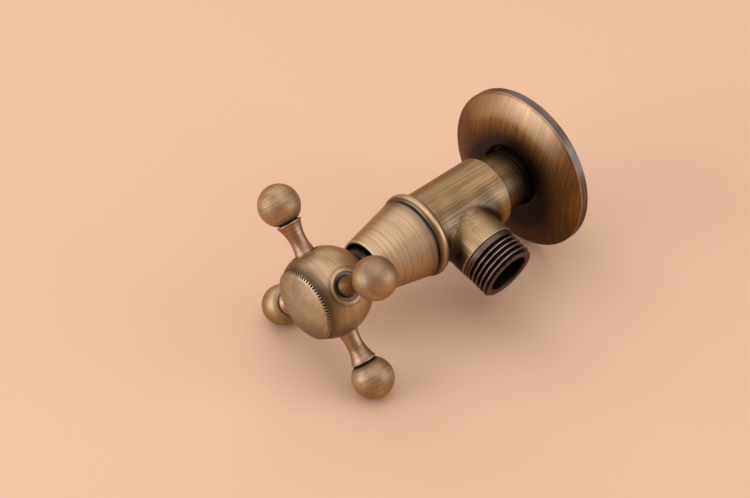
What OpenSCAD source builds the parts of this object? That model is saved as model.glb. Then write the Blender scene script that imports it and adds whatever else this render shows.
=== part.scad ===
// Angle stop valve with a cross handle: a quarter-turn ball valve whose inlet runs
// straight back through a wall flange and whose outlet leaves the body sideways.
// It lies as it would on a table, on two handle knobs and the rim of the flange.
// The origin is where the inlet axis meets the wall, +Y goes into the wall, the
// handle faces -Y and +Z is up. Sizes are millimetres.

/* [Pipe thread] */
// Major diameter of the G 1/2 thread on both ends
thread_d = 20.955; // [19:0.005:24]
// Pitch of that thread
thread_pitch = 1.814; // [1.2:0.001:2.2]
// Chamfer on the free end of each thread
thread_chamfer = 0.8; // [0.4:0.1:1.2]

/* [Inlet] */
// Length of the inlet behind the wall plane
inlet_tail = 10; // [6:0.5:25]
// Length of thread on the inlet, from its free end
inlet_thread_len = 10.5; // [8:0.5:16]
// Distance from the wall plane to the shoulder of the body
stub_len = 20; // [17:0.5:40]
// Diameter of the plain stub between thread and body
stub_d = 20.4; // [19:0.1:21]
// Diameter of the waterway in the inlet
inlet_bore_d = 11; // [9.6:0.1:12]

/* [Body] */
// Diameter of the body
body_d = 25.6; // [25.2:0.1:34]
// Length of the body from its shoulder to the seat of the shroud
body_len = 31; // [30:0.5:45]
// Rounding, cut as a chamfer, on the edge of the shoulder
body_edge = 0.5; // [0.2:0.1:1]
// Diameter of the threaded front end that takes the shroud
spigot_d = 24; // [23:0.1:25]
// Length of that front end
spigot_len = 6; // [4:0.5:10]

/* [Outlet] */
// Distance from the shoulder of the body to the axis of the outlet
outlet_set = 17.2; // [16:0.1:19]
// Direction of the outlet, in degrees above the horizontal
outlet_angle = -14; // [-20:1:20]
// Diameter of the plain neck of the outlet
neck_d = 21.4; // [20.5:0.1:24]
// Distance from the main axis to the end of the outlet
outlet_reach = 29.8; // [28:0.1:45]
// Length of thread on the outlet, from its free end
outlet_thread_len = 10.7; // [7:0.1:12]
// Plain land at the neck end of that thread
thread_land = 2.2; // [1:0.1:3]
// Diameter of the bore in the outlet
outlet_bore_d = 14.9; // [14:0.1:15.6]

/* [Ball and seats] */
// Diameter of the ball
ball_d = 18; // [17:0.1:18.6]
// Diameter of the right-angled passage through the ball
port_d = 9; // [6:0.1:9.6]
// Outer diameter of the two seats
seat_d = 12.8; // [12.2:0.1:13]
// Length of a seat along its own axis
seat_len = 2.8; // [2:0.1:3.2]
// Width of the flat left round the hollow face of a seat
seat_rim = 0.5; // [0.3:0.1:0.8]
// Length of the threaded ring that holds the outlet seat
retainer_len = 6; // [4:0.5:9]
// Width across flats of the key hole in that ring
retainer_flats = 10; // [9.6:0.1:11]

/* [Stem and bonnet] */
// Diameter of the stem
stem_d = 9; // [8.4:0.1:9.4]
// Width of the blade that turns the ball
tang_w = 4.4; // [3:0.1:5]
// Length of the blade across the ball
tang_len = 10; // [8:0.5:11]
// Depth of the blade in the ball
tang_h = 2.8; // [2:0.1:3]
// Diameter of the shoulder that keeps the stem in
collar_d = 11.2; // [10.6:0.1:11.6]
// Thickness of that shoulder
collar_len = 1.9; // [1.4:0.1:2.4]
// Angle taken up by the stop lug on the shoulder
lug_angle = 60; // [40:1:70]
// Height of the stop lug above the shoulder
lug_h = 1.3; // [0.8:0.1:1.5]
// Turn of the handle from shut to open
handle_turn = 90; // [80:1:95]
// Thickness of the thrust washer
washer_len = 0.8; // [0.5:0.1:1.2]
// Section of the ring seal on the stem
o_ring_w = 1.6; // [1.2:0.1:2]
// Diameter of the thread between bonnet and body
bonnet_d = 20; // [19.4:0.1:20.6]
// Length of that thread
bonnet_thread_len = 7.5; // [6:0.5:8]
// Thickness of the sealing ring under the bonnet flange
gasket_len = 0.8; // [0.5:0.1:1.2]
// Thickness of the bonnet flange
bonnet_flange_len = 2; // [1.5:0.1:2.5]
// Width across flats of the bonnet
bonnet_flats = 17; // [16:0.5:18]
// Height of the hexagon on the bonnet
bonnet_hex_len = 4.2; // [3:0.1:5]
// Length of the round collar above the hexagon
bonnet_collar_len = 2; // [1:0.1:3]
// Diameter of the stuffing box in the bonnet
gland_d = 13; // [12:0.1:13.6]
// Length of the packing ring
packing_len = 4; // [3:0.1:5]
// Width across flats of the packing nut
nut_flats = 13; // [12:0.5:14]
// Height of the hexagon on the packing nut
nut_hex_len = 3; // [2:0.1:3.5]

/* [Wall flange] */
// Diameter of the flange
flange_d = 59.4; // [50:0.1:80]
// Height of its straight rim
flange_rim = 3.2; // [2:0.1:6]
// Rise of the dome from the rim to the hole
flange_dome = 4.3; // [2.5:0.1:6]
// How late the dome turns down towards the rim
flange_curve = 2.3; // [1.6:0.1:3]
// Thickness of the flange
flange_wall = 1.5; // [1:0.1:2]
// Diameter of the hole round the inlet
flange_hole_d = 23; // [22:0.1:24]
// Length of the collar turned in round the hole
flange_collar = 4; // [2.5:0.1:6]
// How far the loose flange sits above the middle of the inlet
flange_lift = 0.5; // [0:0.1:0.6]

/* [Bell shroud] */
// Length of the shroud
shroud_len = 25.1; // [22:0.1:34]
// How far the rolled bead at the body end stays inside the round of the hub
bead_inset = 0.2; // [0:0.05:0.5]
// Radius of the bead's section
bead_r = 2; // [1.6:0.1:3]
// Depth of the flat on the bead where it meets the body
bead_flat = 0.15; // [0.05:0.05:0.4]
// Width of the groove between bead and cone
groove_w = 0.7; // [0.4:0.1:1.4]
// Depth of that groove below the cone
groove_depth = 0.5; // [0.2:0.1:0.8]
// Diameter of the cone next to the groove
cone_d = 28.1; // [27:0.1:30]
// Diameter of the cone at the handle end
cone_end_d = 19.5; // [18:0.1:23]
// Thickness of the lip at the handle end
lip_wall = 0.9; // [0.6:0.1:1.4]
// Gap between the lip and the hub, along the axis
hub_gap = 1.3; // [0.8:0.1:4]

/* [Handle] */
// Diameter of the round hub
hub_d = 30.2; // [29:0.1:36]
// Distance from the centre of the hub to its flat front
hub_face = 9.1; // [8.5:0.1:10]
// Clearance round the neck of the hub where it enters the shroud
skirt_gap = 1.2; // [0.5:0.1:2]
// Length of that neck inside the shroud
skirt_in = 4.6; // [2:0.1:5]
// Width across flats of the square on the stem
square_flats = 6.2; // [5:0.1:6.2]
// Length of the square in the hub
square_len = 15; // [12:0.5:17]
// Thickness of the web that the screw pulls against
web_len = 2.5; // [1.5:0.1:3]
// Distance from the centre of the hub to that web
web_set = 2.6; // [2.6:0.1:3.2]
// Diameter of the recess in the front of the hub
recess_d = 16; // [14:0.1:18]
// Distance from the main axis to the centre of a knob
arm_reach = 31.75; // [28:0.05:45]
// Diameter of a knob
knob_d = 14.1; // [12:0.1:18]
// Diameter of the flat where a knob meets its arm
knob_flat_d = 8; // [7:0.1:9]
// Depth of the threaded hole in a knob
knob_hole = 5.5; // [4:0.1:7]
// Diameter of the waist of an arm
waist_d = 5.6; // [5:0.1:6.4]
// Distance from the main axis to the waist
waist_set = 18.8; // [17:0.1:21]
// Radius of the hollow sweep of an arm
sweep_r = 14.6; // [11:0.1:20]
// Diameter of the lip at the knob end of an arm
arm_lip_d = 8.8; // [8.2:0.1:10]
// Width of the groove between that lip and the knob
arm_groove = 0.6; // [0.3:0.1:1]
// Diameter of the spot face round the root of an arm
spot_d = 9.2; // [8:0.1:10]
// Depth of the spot face below the round of the hub
spot_depth = 0.6; // [0.3:0.1:1]
// Diameter of the threaded stud in the hub
stud_d = 5; // [4:0.1:5]
// Length of that stud
stud_len = 6.4; // [5:0.1:7]
// Diameter of the threaded stud in the knob
knob_stud_d = 4; // [3:0.1:5]

/* [Cap and screw] */
// Diameter over the milled edge of the cap
cap_d = 24.8; // [23:0.1:26]
// Height of the milled edge
cap_rim = 0.8; // [0.6:0.1:1.4]
// Rise of the domed face above the milled edge
cap_dome = 2; // [1:0.1:7]
// Number of notches in the milled edge
cap_notches = 72; // [36:1:96]
// Depth of the notches, which run out up the slope of the edge
notch_depth = 0.8; // [0.2:0.05:1]
// Width left plain at the foot and the head of that slope
cap_ledge = 0.15; // [0.1:0.05:0.5]
// Length of the threaded rim of the cap in the hub
cap_spigot = 2.6; // [1.5:0.1:3]
// Thickness of that rim
cap_spigot_wall = 2; // [1.5:0.1:2.5]
// Diameter of the handle screw
screw_d = 4; // [3:0.1:4]
// Length of the screw under its head
screw_len = 14; // [10:0.5:16]
// Diameter of the screw's head
screw_head_d = 7; // [6:0.1:7.4]
// Height of the screw's head
screw_head_len = 2.6; // [2:0.1:3]
// Width across flats of the key hole in the head
screw_key = 3; // [2:0.1:3.5]
// Thickness of the lock washer
lock_len = 0.8; // [0.5:0.1:1]
// Outer diameter of the lock washer
lock_d = 7.8; // [7.4:0.1:9]

/* [Fits] */
// Clearance on the radius where threads or presses meet
fit = 0.05; // [0.02:0.01:0.1]
// Clearance on the radius where a piece turns in another
run_fit = 0.05; // [0.02:0.01:0.1]
// Gap between faces that pass each other
air = 0.3; // [0.2:0.05:0.4]

/* [Hidden] */
$fn = 96;
cut = 1;
arms = 4;
arm_step = 360 / arms;
first_arm = 45;
hex_corner = cos(30);
lug_play = 1.5;
thread_depth_share = 0.640327;
groove_top_share = 0.8;
groove_root_share = 0.16;
relief_share = 0.22;
port_shut = outlet_angle - handle_turn;
lug_shut = 180;
arc_steps = 12;

thread_r = thread_d / 2;
thread_depth = thread_depth_share * thread_pitch;
groove_top = groove_top_share * thread_pitch;
groove_root = groove_root_share * thread_pitch;
groove_flank = (groove_top - groove_root) / 2 / thread_depth;

stub_r = stub_d / 2;
body_r = body_d / 2;
spigot_r = spigot_d / 2;
neck_r = neck_d / 2;
outlet_bore_r = outlet_bore_d / 2;
bonnet_r = bonnet_d / 2;
thread_end_t = inlet_thread_len - inlet_tail;
shoulder_t = stub_len;
outlet_t = shoulder_t + outlet_set;
shroud_t = shoulder_t + body_len;
front_t = shroud_t + spigot_len;
neck_s = outlet_reach - outlet_thread_len;
relief_w = relief_share * thread_pitch;
relief_r = thread_r - thread_depth / 2;

ball_r = ball_d / 2;
port_r = port_d / 2;
ball_top_t = outlet_t + ball_r;
cavity_r = ball_r + air;
seat_r = seat_d / 2;
seat_bore_r = port_r + fit;
seat_face = sqrt(pow(ball_r, 2) - pow(seat_r - seat_rim, 2));
seat_base = seat_face + seat_len;
cavity_floor = seat_face - air / 2;
slot_depth = tang_h + air;
tang_t = ball_top_t - tang_h;

stem_r = stem_d / 2;
collar_r = collar_d / 2;
lug_r = collar_r + lug_h;
collar_t = ball_top_t + air;
washer_t = collar_t + collar_len;
bonnet_floor_t = washer_t + washer_len;
bonnet_t = ball_top_t + 2 * air;
bonnet_thread_t = front_t - bonnet_thread_len;
pilot_t = max(bonnet_t, bonnet_thread_t);
bonnet_flange_t = front_t + gasket_len;
bonnet_hex_t = bonnet_flange_t + bonnet_flange_len;
bonnet_collar_t = bonnet_hex_t + bonnet_hex_len;
bonnet_top_t = bonnet_collar_t + bonnet_collar_len;
gland_r = gland_d / 2;
gland_t = bonnet_flange_t;
packing_t = gland_t + packing_len;
nut_hex_t = bonnet_top_t + air;
nut_top_t = nut_hex_t + nut_hex_len;
o_ring_t = (bonnet_floor_t + gland_t) / 2;
o_ring_groove_w = o_ring_w + 2 * run_fit;
o_ring_centre = stem_r + run_fit / 2 - o_ring_w / 2;
o_ring_groove_r = o_ring_centre - o_ring_w / 2 - run_fit / 2;

bead_d = hub_d - 2 * bead_inset;
bead_centre_r = bead_d / 2 - bead_r;
bead_t = shroud_t + bead_r - bead_flat;
groove_t = bead_t + bead_r;
cone_t = groove_t + groove_w;
groove_r = cone_d / 2 - groove_depth;
lip_t = shroud_t + shroud_len;
lip_r = cone_end_d / 2 - lip_wall;
shroud_bore_r = spigot_r + fit;
shroud_bore_t = front_t + air;
bonnet_flange_r = shroud_inner_r(bonnet_hex_t) - air;

hub_r = hub_d / 2;
hub_t = lip_t + hub_gap + hub_r;
face_t = hub_t + hub_face;
skirt_r = lip_r - skirt_gap;
skirt_t = lip_t - skirt_in;
web_t = hub_t + web_set;
recess_t = web_t + web_len;
socket_t = web_t - square_len;
square_t = socket_t - air;
stem_top_t = web_t - air;
recess_r = recess_d / 2;
spot_r = spot_d / 2;
spot_face = sqrt(pow(hub_r, 2) - pow(spot_r, 2)) - spot_depth;
stud_hole_face = spot_face - stud_len - air;

knob_r = knob_d / 2;
knob_flat = sqrt(pow(knob_r, 2) - pow(knob_flat_d / 2, 2));
knob_face = arm_reach - knob_flat;
arm_lip_r = arm_lip_d / 2;
arm_lip = knob_face - arm_groove;
arm_collar_r = knob_flat_d / 2 - arm_groove;

cap_r = cap_d / 2;
cap_face_t = face_t + cap_rim;
cap_face_r = cap_r - notch_depth - cap_ledge;
cap_hollow_r = recess_r - fit - cap_spigot_wall;
lock_t = recess_t;
screw_t = lock_t + lock_len;
screw_head_t = screw_t + screw_head_len;
screw_r = screw_d / 2;
screw_hole_t = screw_t - screw_len - cut;

flange_r = flange_d / 2;
flange_hole_r = flange_hole_d / 2;
flange_hollow_r = flange_r - flange_wall;
flange_collar_r = flange_hole_r + flange_wall;
flange_top_t = flange_rim + flange_dome;
flange_collar_t = max(air, flange_top_t - flange_collar);

// Inside radius of the shroud at a distance from the wall
function shroud_inner_r(t) =
    shroud_bore_r + (lip_r - shroud_bore_r) * (t - shroud_bore_t) / (lip_t - shroud_bore_t);

// Height of the flange's dome above the wall at a distance from its middle
function flange_t(r) =
    flange_rim + flange_dome * (1 - pow((r - flange_hole_r) / (flange_r - flange_hole_r), flange_curve));

// Points of the dome from one radius to another, sunk by a depth
function flange_dome_points(from, to, depth) =
    [for (i = [0 : arc_steps]) let (r = from + (to - from) * i / arc_steps) [r, flange_t(r) - depth]];

// Points of an arc in a profile, from angle a to angle b
function arc(centre, r, a, b) =
    [for (i = [0 : arc_steps]) centre + r * [cos(a + (b - a) * i / arc_steps), sin(a + (b - a) * i / arc_steps)]];

// Main axis: z is the distance from the wall and y is up
module on_axis() {
    rotate([90, 0, 0]) children();
}

// Outlet axis: z is the distance from the main axis
module on_outlet() {
    on_axis() rotate([0, 0, outlet_angle]) translate([0, 0, outlet_t]) rotate([0, 90, 0]) children();
}

// Axis of one arm: z is the distance from the main axis
module on_arm(index) {
    on_axis() rotate([0, 0, first_arm + arm_step * index]) translate([0, 0, hub_t]) rotate([0, 90, 0]) children();
}

module rod(r, from, to) {
    translate([0, 0, from]) cylinder(r = r, h = to - from);
}

module tube(r_out, r_in, from, to) {
    difference() {
        rod(r_out, from, to);
        rod(r_in, from - cut, to + cut);
    }
}

module hexagon(flats, from, to) {
    translate([0, 0, from]) cylinder(d = flats / hex_corner, h = to - from, $fn = 6);
}

// Wedge of a circle, for the stop lug and its recess
module sector(r, middle, angle, from, to) {
    intersection() {
        rod(r, from, to);
        translate([0, 0, from]) linear_extrude(to - from)
            polygon(concat([[0, 0]], arc([0, 0], 2 * r, middle - angle / 2, middle + angle / 2)));
    }
}

// Rings cut for a thread, ending at the free end of the piece
module thread_grooves(end, direction, count) {
    for (i = [0 : count - 1])
        translate([0, 0, end - direction * (thread_chamfer + (i + 0.5) * thread_pitch)]) rotate_extrude()
            polygon([
                [thread_r - thread_depth, -groove_root / 2],
                [thread_r + cut, -groove_top / 2 - cut * groove_flank],
                [thread_r + cut, groove_top / 2 + cut * groove_flank],
                [thread_r - thread_depth, groove_root / 2]
            ]);
}

module valve_body() {
    inlet_turns = floor((inlet_thread_len - thread_chamfer) / thread_pitch);
    outlet_turns = floor((outlet_thread_len - thread_chamfer - thread_land) / thread_pitch);
    color("#96784f") difference() {
        union() {
            on_axis() difference() {
                rotate_extrude() polygon([
                    [0, -inlet_tail],
                    [thread_r - thread_chamfer, -inlet_tail],
                    [thread_r, thread_chamfer - inlet_tail],
                    [thread_r, thread_end_t],
                    [stub_r, thread_end_t],
                    [stub_r, shoulder_t],
                    [body_r - body_edge, shoulder_t],
                    [body_r, shoulder_t + body_edge],
                    [body_r, shroud_t],
                    [spigot_r, shroud_t],
                    [spigot_r, front_t],
                    [0, front_t]
                ]);
                thread_grooves(-inlet_tail, -1, inlet_turns);
            }
            on_outlet() difference() {
                rotate_extrude() polygon([
                    [0, 0],
                    [neck_r, 0],
                    [neck_r, neck_s],
                    [relief_r, neck_s],
                    [relief_r, neck_s + relief_w],
                    [thread_r, neck_s + relief_w],
                    [thread_r, outlet_reach - thread_chamfer],
                    [thread_r - thread_chamfer, outlet_reach],
                    [0, outlet_reach]
                ]);
                thread_grooves(outlet_reach, 1, outlet_turns);
            }
        }
        on_axis() {
            rod(inlet_bore_d / 2, -inlet_tail - cut, outlet_t);
            rod(seat_r + fit, outlet_t - seat_base, outlet_t);
            rod(cavity_r, outlet_t - cavity_floor, front_t + cut);
            rod(bonnet_r, bonnet_thread_t, front_t + cut);
        }
        on_outlet() {
            rod(seat_r + fit, 0, seat_base + cut);
            rod(outlet_bore_r, seat_base, outlet_reach + cut);
        }
    }
}

// A pressed cup, open towards the wall
module wall_flange() {
    color("#8d7048") on_axis() translate([0, flange_lift, 0]) rotate_extrude()
        polygon(concat(
            [[flange_hollow_r, 0], [flange_r, 0]],
            flange_dome_points(flange_r, flange_hole_r, 0),
            [[flange_hole_r, flange_collar_t], [flange_collar_r, flange_collar_t]],
            flange_dome_points(flange_collar_r, flange_hollow_r, flange_wall)
        ));
}

// A ring with a hollow face that the ball turns against, at a distance from the ball's centre
module seat() {
    difference() {
        tube(seat_r, seat_bore_r, seat_face, seat_base);
        sphere(ball_r + run_fit);
    }
}

module inlet_seat() {
    color("white") on_axis() translate([0, 0, outlet_t]) rotate([180, 0, 0]) seat();
}

module outlet_seat() {
    color("white") on_outlet() seat();
}

module seat_retainer() {
    color("#b08d57") on_outlet() difference() {
        rod(outlet_bore_r - fit, seat_base, seat_base + retainer_len);
        hexagon(retainer_flats, seat_base - cut, seat_base + retainer_len + cut);
    }
}

// The passage runs in from the inlet and out at the side
module ball() {
    color("#c9ccd0") on_axis() translate([0, 0, outlet_t]) difference() {
        sphere(ball_r);
        rod(port_r, -ball_r - cut, 0);
        rotate([0, 0, port_shut]) rotate([0, 90, 0]) rod(port_r, 0, ball_r + cut);
        sphere(port_r);
        translate([-ball_r - cut, -tang_w / 2 - fit, ball_r - slot_depth])
            cube([2 * (ball_r + cut), tang_w + 2 * fit, slot_depth + cut]);
    }
}

module stem() {
    color("#b08d57") on_axis() difference() {
        union() {
            intersection() {
                translate([-tang_len / 2, -tang_w / 2, tang_t]) cube([tang_len, tang_w, washer_t - tang_t]);
                rod(collar_r, tang_t, washer_t);
            }
            rod(collar_r, collar_t, washer_t);
            sector(lug_r, lug_shut, lug_angle, collar_t, washer_t);
            rod(stem_r, collar_t, square_t);
            translate([-square_flats / 2, -square_flats / 2, square_t - cut])
                cube([square_flats, square_flats, stem_top_t - square_t + cut]);
        }
        translate([0, 0, o_ring_t - o_ring_groove_w / 2]) tube(stem_r + cut, o_ring_groove_r, 0, o_ring_groove_w);
        rod(screw_r + fit, screw_hole_t, stem_top_t + cut);
    }
}

module stem_o_ring() {
    color("#202020") on_axis() translate([0, 0, o_ring_t]) rotate_extrude()
        translate([o_ring_centre, 0]) circle(d = o_ring_w);
}

module thrust_washer() {
    color("white") on_axis() tube(collar_r, stem_r + run_fit, washer_t + run_fit, bonnet_floor_t);
}

module bonnet() {
    recess_angle = lug_angle + handle_turn + 2 * lug_play;
    recess_middle = lug_shut + handle_turn / 2;
    color("#b08d57") on_axis() difference() {
        union() {
            rod(cavity_r - fit, bonnet_t, pilot_t + cut / 2);
            rod(bonnet_r - fit, pilot_t, bonnet_flange_t + cut / 2);
            rod(bonnet_flange_r, bonnet_flange_t, bonnet_hex_t);
            hexagon(bonnet_flats, bonnet_hex_t - cut / 2, bonnet_collar_t);
            rod(bonnet_flats / 2, bonnet_hex_t, bonnet_top_t);
        }
        rod(collar_r + run_fit, bonnet_t - cut, bonnet_floor_t);
        sector(lug_r + run_fit, recess_middle, recess_angle, bonnet_t - cut, bonnet_floor_t);
        rod(stem_r + run_fit, bonnet_t, bonnet_top_t);
        rod(gland_r, gland_t, bonnet_top_t + cut);
    }
}

module bonnet_seal() {
    color("#202020") on_axis() tube(bonnet_flange_r, bonnet_r, front_t, bonnet_flange_t);
}

module stem_packing() {
    color("white") on_axis() tube(gland_r - fit, stem_r + run_fit, gland_t, packing_t);
}

module packing_nut() {
    color("#b08d57") on_axis() difference() {
        union() {
            rod(gland_r - fit, packing_t, nut_hex_t + cut / 2);
            hexagon(nut_flats, nut_hex_t, nut_top_t);
        }
        rod(stem_r + run_fit, packing_t - cut, nut_top_t + cut);
    }
}

module bell_shroud() {
    seat_start = asin((shroud_t - bead_t) / bead_r);
    bore_start = -acos(max(-1, (shroud_bore_r - bead_centre_r) / bead_r));
    bead_start = max(seat_start, bore_start);
    color("#a08658") on_axis() rotate_extrude() polygon(concat(
        [[shroud_bore_r, shroud_t]],
        arc([bead_centre_r, bead_t], bead_r, bead_start, acos((groove_r - bead_centre_r) / bead_r)),
        [[groove_r, cone_t], [cone_d / 2, cone_t], [cone_end_d / 2, lip_t], [lip_r, lip_t]],
        [[shroud_bore_r, shroud_bore_t]]
    ));
}

// A ball with a flat front, a neck that enters the shroud, and four spot faces for the arms
module handle_hub() {
    color("#9a7d50") difference() {
        on_axis() union() {
            intersection() {
                translate([0, 0, hub_t]) sphere(hub_r);
                rod(hub_r + cut, hub_t - hub_r - cut, face_t);
            }
            rod(skirt_r, skirt_t, hub_t);
        }
        on_axis() {
            rod(stem_r + run_fit, skirt_t - cut, socket_t);
            translate([-square_flats / 2 - fit, -square_flats / 2 - fit, socket_t - cut])
                cube([square_flats + 2 * fit, square_flats + 2 * fit, web_t - socket_t + cut]);
            rod(screw_r + air, web_t - cut, recess_t + cut);
            rod(recess_r, recess_t, face_t + cut);
        }
        for (index = [0 : arms - 1]) on_arm(index) {
            rod(stud_d / 2 + fit, stud_hole_face, hub_r);
            rod(spot_r, spot_face, hub_r + cut);
            translate([0, 0, spot_face + spot_depth / 2])
                cylinder(r1 = spot_r, r2 = spot_r + spot_depth + cut, h = spot_depth + cut);
        }
    }
}

// Turned in one piece: a stud for the hub, a waisted neck with a lip, and a stud for the knob
module handle_arm(index) {
    color("#8a6a4e") on_arm(index) union() {
        difference() {
            rod(arm_lip_r, spot_face, arm_lip);
            translate([0, 0, waist_set]) rotate_extrude()
                translate([waist_d / 2 + sweep_r, 0]) circle(sweep_r);
        }
        rod(arm_collar_r, arm_lip - cut, knob_face);
        rod(stud_d / 2, spot_face - stud_len, spot_face + cut);
        rod(knob_stud_d / 2, knob_face - cut, knob_face + knob_hole - air);
    }
}

module ball_knob(index) {
    color("#a88a50") on_arm(index) difference() {
        intersection() {
            translate([0, 0, arm_reach]) sphere(knob_r);
            rod(knob_r + cut, knob_face, arm_reach + knob_r + cut);
        }
        rod(knob_stud_d / 2 + fit, knob_face - cut, knob_face + knob_hole);
    }
}

module lock_washer() {
    color("silver") on_axis() tube(lock_d / 2, screw_r + fit, lock_t, screw_t);
}

module handle_screw() {
    color("silver") on_axis() difference() {
        union() {
            rod(screw_r, screw_t - screw_len, screw_t + cut / 2);
            rod(screw_head_d / 2, screw_t, screw_head_t);
        }
        hexagon(screw_key, screw_head_t - screw_head_len / 2, screw_head_t + cut);
    }
}

// The milled edge is a toothed disc whose teeth a slope cuts away towards the domed face
module index_cap() {
    step = 180 / cap_notches;
    color("#97794c") on_axis() difference() {
        union() {
            translate([0, 0, face_t]) intersection() {
                linear_extrude(cap_rim + cap_dome + cut)
                    polygon([for (i = [0 : 2 * cap_notches - 1])
                        (cap_r - notch_depth * (i % 2)) * [cos(i * step), sin(i * step)]]);
                rotate_extrude() polygon(concat(
                    [[0, 0], [cap_r + cap_ledge, 0]],
                    [for (i = [0 : arc_steps])
                        [cap_face_r * (1 - i / arc_steps), cap_rim + cap_dome * (1 - pow(1 - i / arc_steps, 2))]]
                ));
            }
            rod(recess_r - fit, face_t - cap_spigot, face_t + cap_rim / 2);
        }
        rod(cap_hollow_r, face_t - cap_spigot - cut, cap_face_t);
    }
}

valve_body();
wall_flange();
inlet_seat();
ball();
outlet_seat();
seat_retainer();
stem();
stem_o_ring();
thrust_washer();
bonnet();
bonnet_seal();
stem_packing();
packing_nut();
bell_shroud();
handle_hub();
handle_arm(0);  // handle_arm_1
handle_arm(1);  // handle_arm_2
handle_arm(2);  // handle_arm_3
handle_arm(3);  // handle_arm_4
ball_knob(0);  // ball_knob_1
ball_knob(1);  // ball_knob_2
ball_knob(2);  // ball_knob_3
ball_knob(3);  // ball_knob_4
lock_washer();
handle_screw();
index_cap();
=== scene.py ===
"""Looks of an antique brass angle valve with a cross handle.

Every piece is turned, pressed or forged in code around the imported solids: the forged body with its two
pipe threads, the domed wall flange, the bell shroud, the ball hub with its arms and knobs, and the milled
index cap. Sizes are millimetres until a point is placed in the row frame, which is in metres.
"""

import logging
from dataclasses import dataclass
from enum import Enum
from math import acos, asin, atan2, ceil, cos, degrees, pi, radians, sin, sqrt, tan
from typing import Callable, Sequence

import bmesh
import bpy
from mathutils import Matrix, Vector


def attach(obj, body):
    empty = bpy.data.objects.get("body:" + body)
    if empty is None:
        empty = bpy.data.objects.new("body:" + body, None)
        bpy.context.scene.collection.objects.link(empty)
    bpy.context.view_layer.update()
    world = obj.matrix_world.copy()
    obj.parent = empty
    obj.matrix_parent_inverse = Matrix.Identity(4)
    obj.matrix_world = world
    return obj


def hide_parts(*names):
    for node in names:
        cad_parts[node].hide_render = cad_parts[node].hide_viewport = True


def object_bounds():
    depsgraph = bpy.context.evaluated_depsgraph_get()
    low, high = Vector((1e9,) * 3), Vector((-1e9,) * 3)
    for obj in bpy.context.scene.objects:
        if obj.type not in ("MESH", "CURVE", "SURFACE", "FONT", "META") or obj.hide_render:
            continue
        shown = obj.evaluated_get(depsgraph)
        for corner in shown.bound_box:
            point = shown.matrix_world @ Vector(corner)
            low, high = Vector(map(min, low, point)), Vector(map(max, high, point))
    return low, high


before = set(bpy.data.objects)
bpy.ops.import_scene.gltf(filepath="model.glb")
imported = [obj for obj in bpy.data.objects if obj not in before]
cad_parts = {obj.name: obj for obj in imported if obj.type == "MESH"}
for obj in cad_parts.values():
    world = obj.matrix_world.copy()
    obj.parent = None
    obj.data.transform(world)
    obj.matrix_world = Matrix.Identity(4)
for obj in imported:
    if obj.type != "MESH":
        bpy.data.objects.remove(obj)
CAD_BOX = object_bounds()

LOG = logging.getLogger("angle_valve")
IMAGE_WIDTH = 750
MM = 0.001
TURN = 2 * pi
ROUND = 120
SIDE = 16
WELD = 1e-6
SHARP_EDGE = radians(38)
# Most of an edge that one rounding may take
ROUNDING_SHARE = 0.45

# A stop on a profile: radius, distance along the axis, and patina with painted light from -1 to 1:
# bright wear and painted highlight at -1, dark patina and painted shade at 1
Stop = tuple[float, float, float]
# A corner of a profile: the same, with the radius of its rounding before the patina and painted light
Corner = tuple[float, float, float, float]
# A point of a walk round a window: the angle seen from its middle, then its place across and up
Step = tuple[float, float, float]
# A point with its patina and painted light, and a ring of them
Dot = tuple[Vector, float]
Row = list[Dot]
# A direction, or a place, as three plain numbers
Triple = tuple[float, float, float]
Tree = bpy.types.NodeTree
Socket = bpy.types.NodeSocket
Piece = bpy.types.Object


def linear(code: str) -> tuple[float, float, float, float]:
    """Turns an sRGB hex colour into a linear one.

    Args:
        code: the colour as #rrggbb.

    Returns:
        Red, green, blue and an alpha of 1, linear.
    """
    shares = [int(code[i : i + 2], 16) / 255 for i in (1, 3, 5)]
    red, green, blue = (c / 12.92 if c <= 0.04045 else ((c + 0.055) / 1.055) ** 2.4 for c in shares)
    return red, green, blue, 1.0


def mixed(a: float, b: float, share: float) -> float:
    """Value at a share of the way from a to b."""
    return a + (b - a) * share


def smooth(low: float, high: float, value: float) -> float:
    """Rises softly from 0 at low to 1 at high."""
    share = min(1.0, max(0.0, (value - low) / (high - low)))
    return share * share * (3 - 2 * share)


def swung(start: Vector, end: Vector, share: float) -> Vector:
    """Swings one vector towards another of the same length.

    Args:
        start: where the swing starts.
        end: where it ends.
        share: how far it has gone, from 0 to 1.

    Returns:
        The vector, with its length kept.
    """
    return start.slerp(end, share).normalized() * start.length


@dataclass(frozen=True)
class Axis:
    """A line that pieces are turned about, in millimetres of the row frame.

    Attributes:
        origin: the point that distances along it count from.
        along: its direction.
        first: the direction of angle 0, square to it.
    """

    origin: Vector
    along: Vector
    first: Vector

    def second(self) -> Vector:
        """Triple of a quarter turn."""
        return self.along.cross(self.first)

    def place(self, r: float, angle: float, along: float) -> Vector:
        """Finds a point of a turned piece.

        Args:
            r: distance from the axis.
            angle: turn about it, in radians.
            along: distance along it.

        Returns:
            The point in the row frame, in metres.
        """
        spoke = self.first * cos(angle) + self.second() * sin(angle)
        return (self.origin + self.along * along + spoke * r) * MM


OUTLET_ANGLE = radians(-14)
OUTLET_SET = 37.2
HUB_SET = 92.5
FIRST_ARM = radians(45)
ARM_COUNT = 4
# Painted shade on top of each knob, in the order of the arms
KNOB_PAINTED_SHADE = (0.35, 0.15, 0.0, 0.0)
TOWARDS_HANDLE = Vector((0, -1, 0))
MAIN = Axis(Vector((0, 0, 0)), TOWARDS_HANDLE, Vector((1, 0, 0)))


def spoke_axis(set_back: float, angle: float) -> Axis:
    """Axis that leaves the main axis square to it.

    Args:
        set_back: distance from the wall, along the main axis.
        angle: its direction, in radians up from +X.

    Returns:
        The axis, with angle 0 towards the handle.
    """
    return Axis(TOWARDS_HANDLE * set_back, Vector((cos(angle), 0, sin(angle))), TOWARDS_HANDLE)


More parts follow.
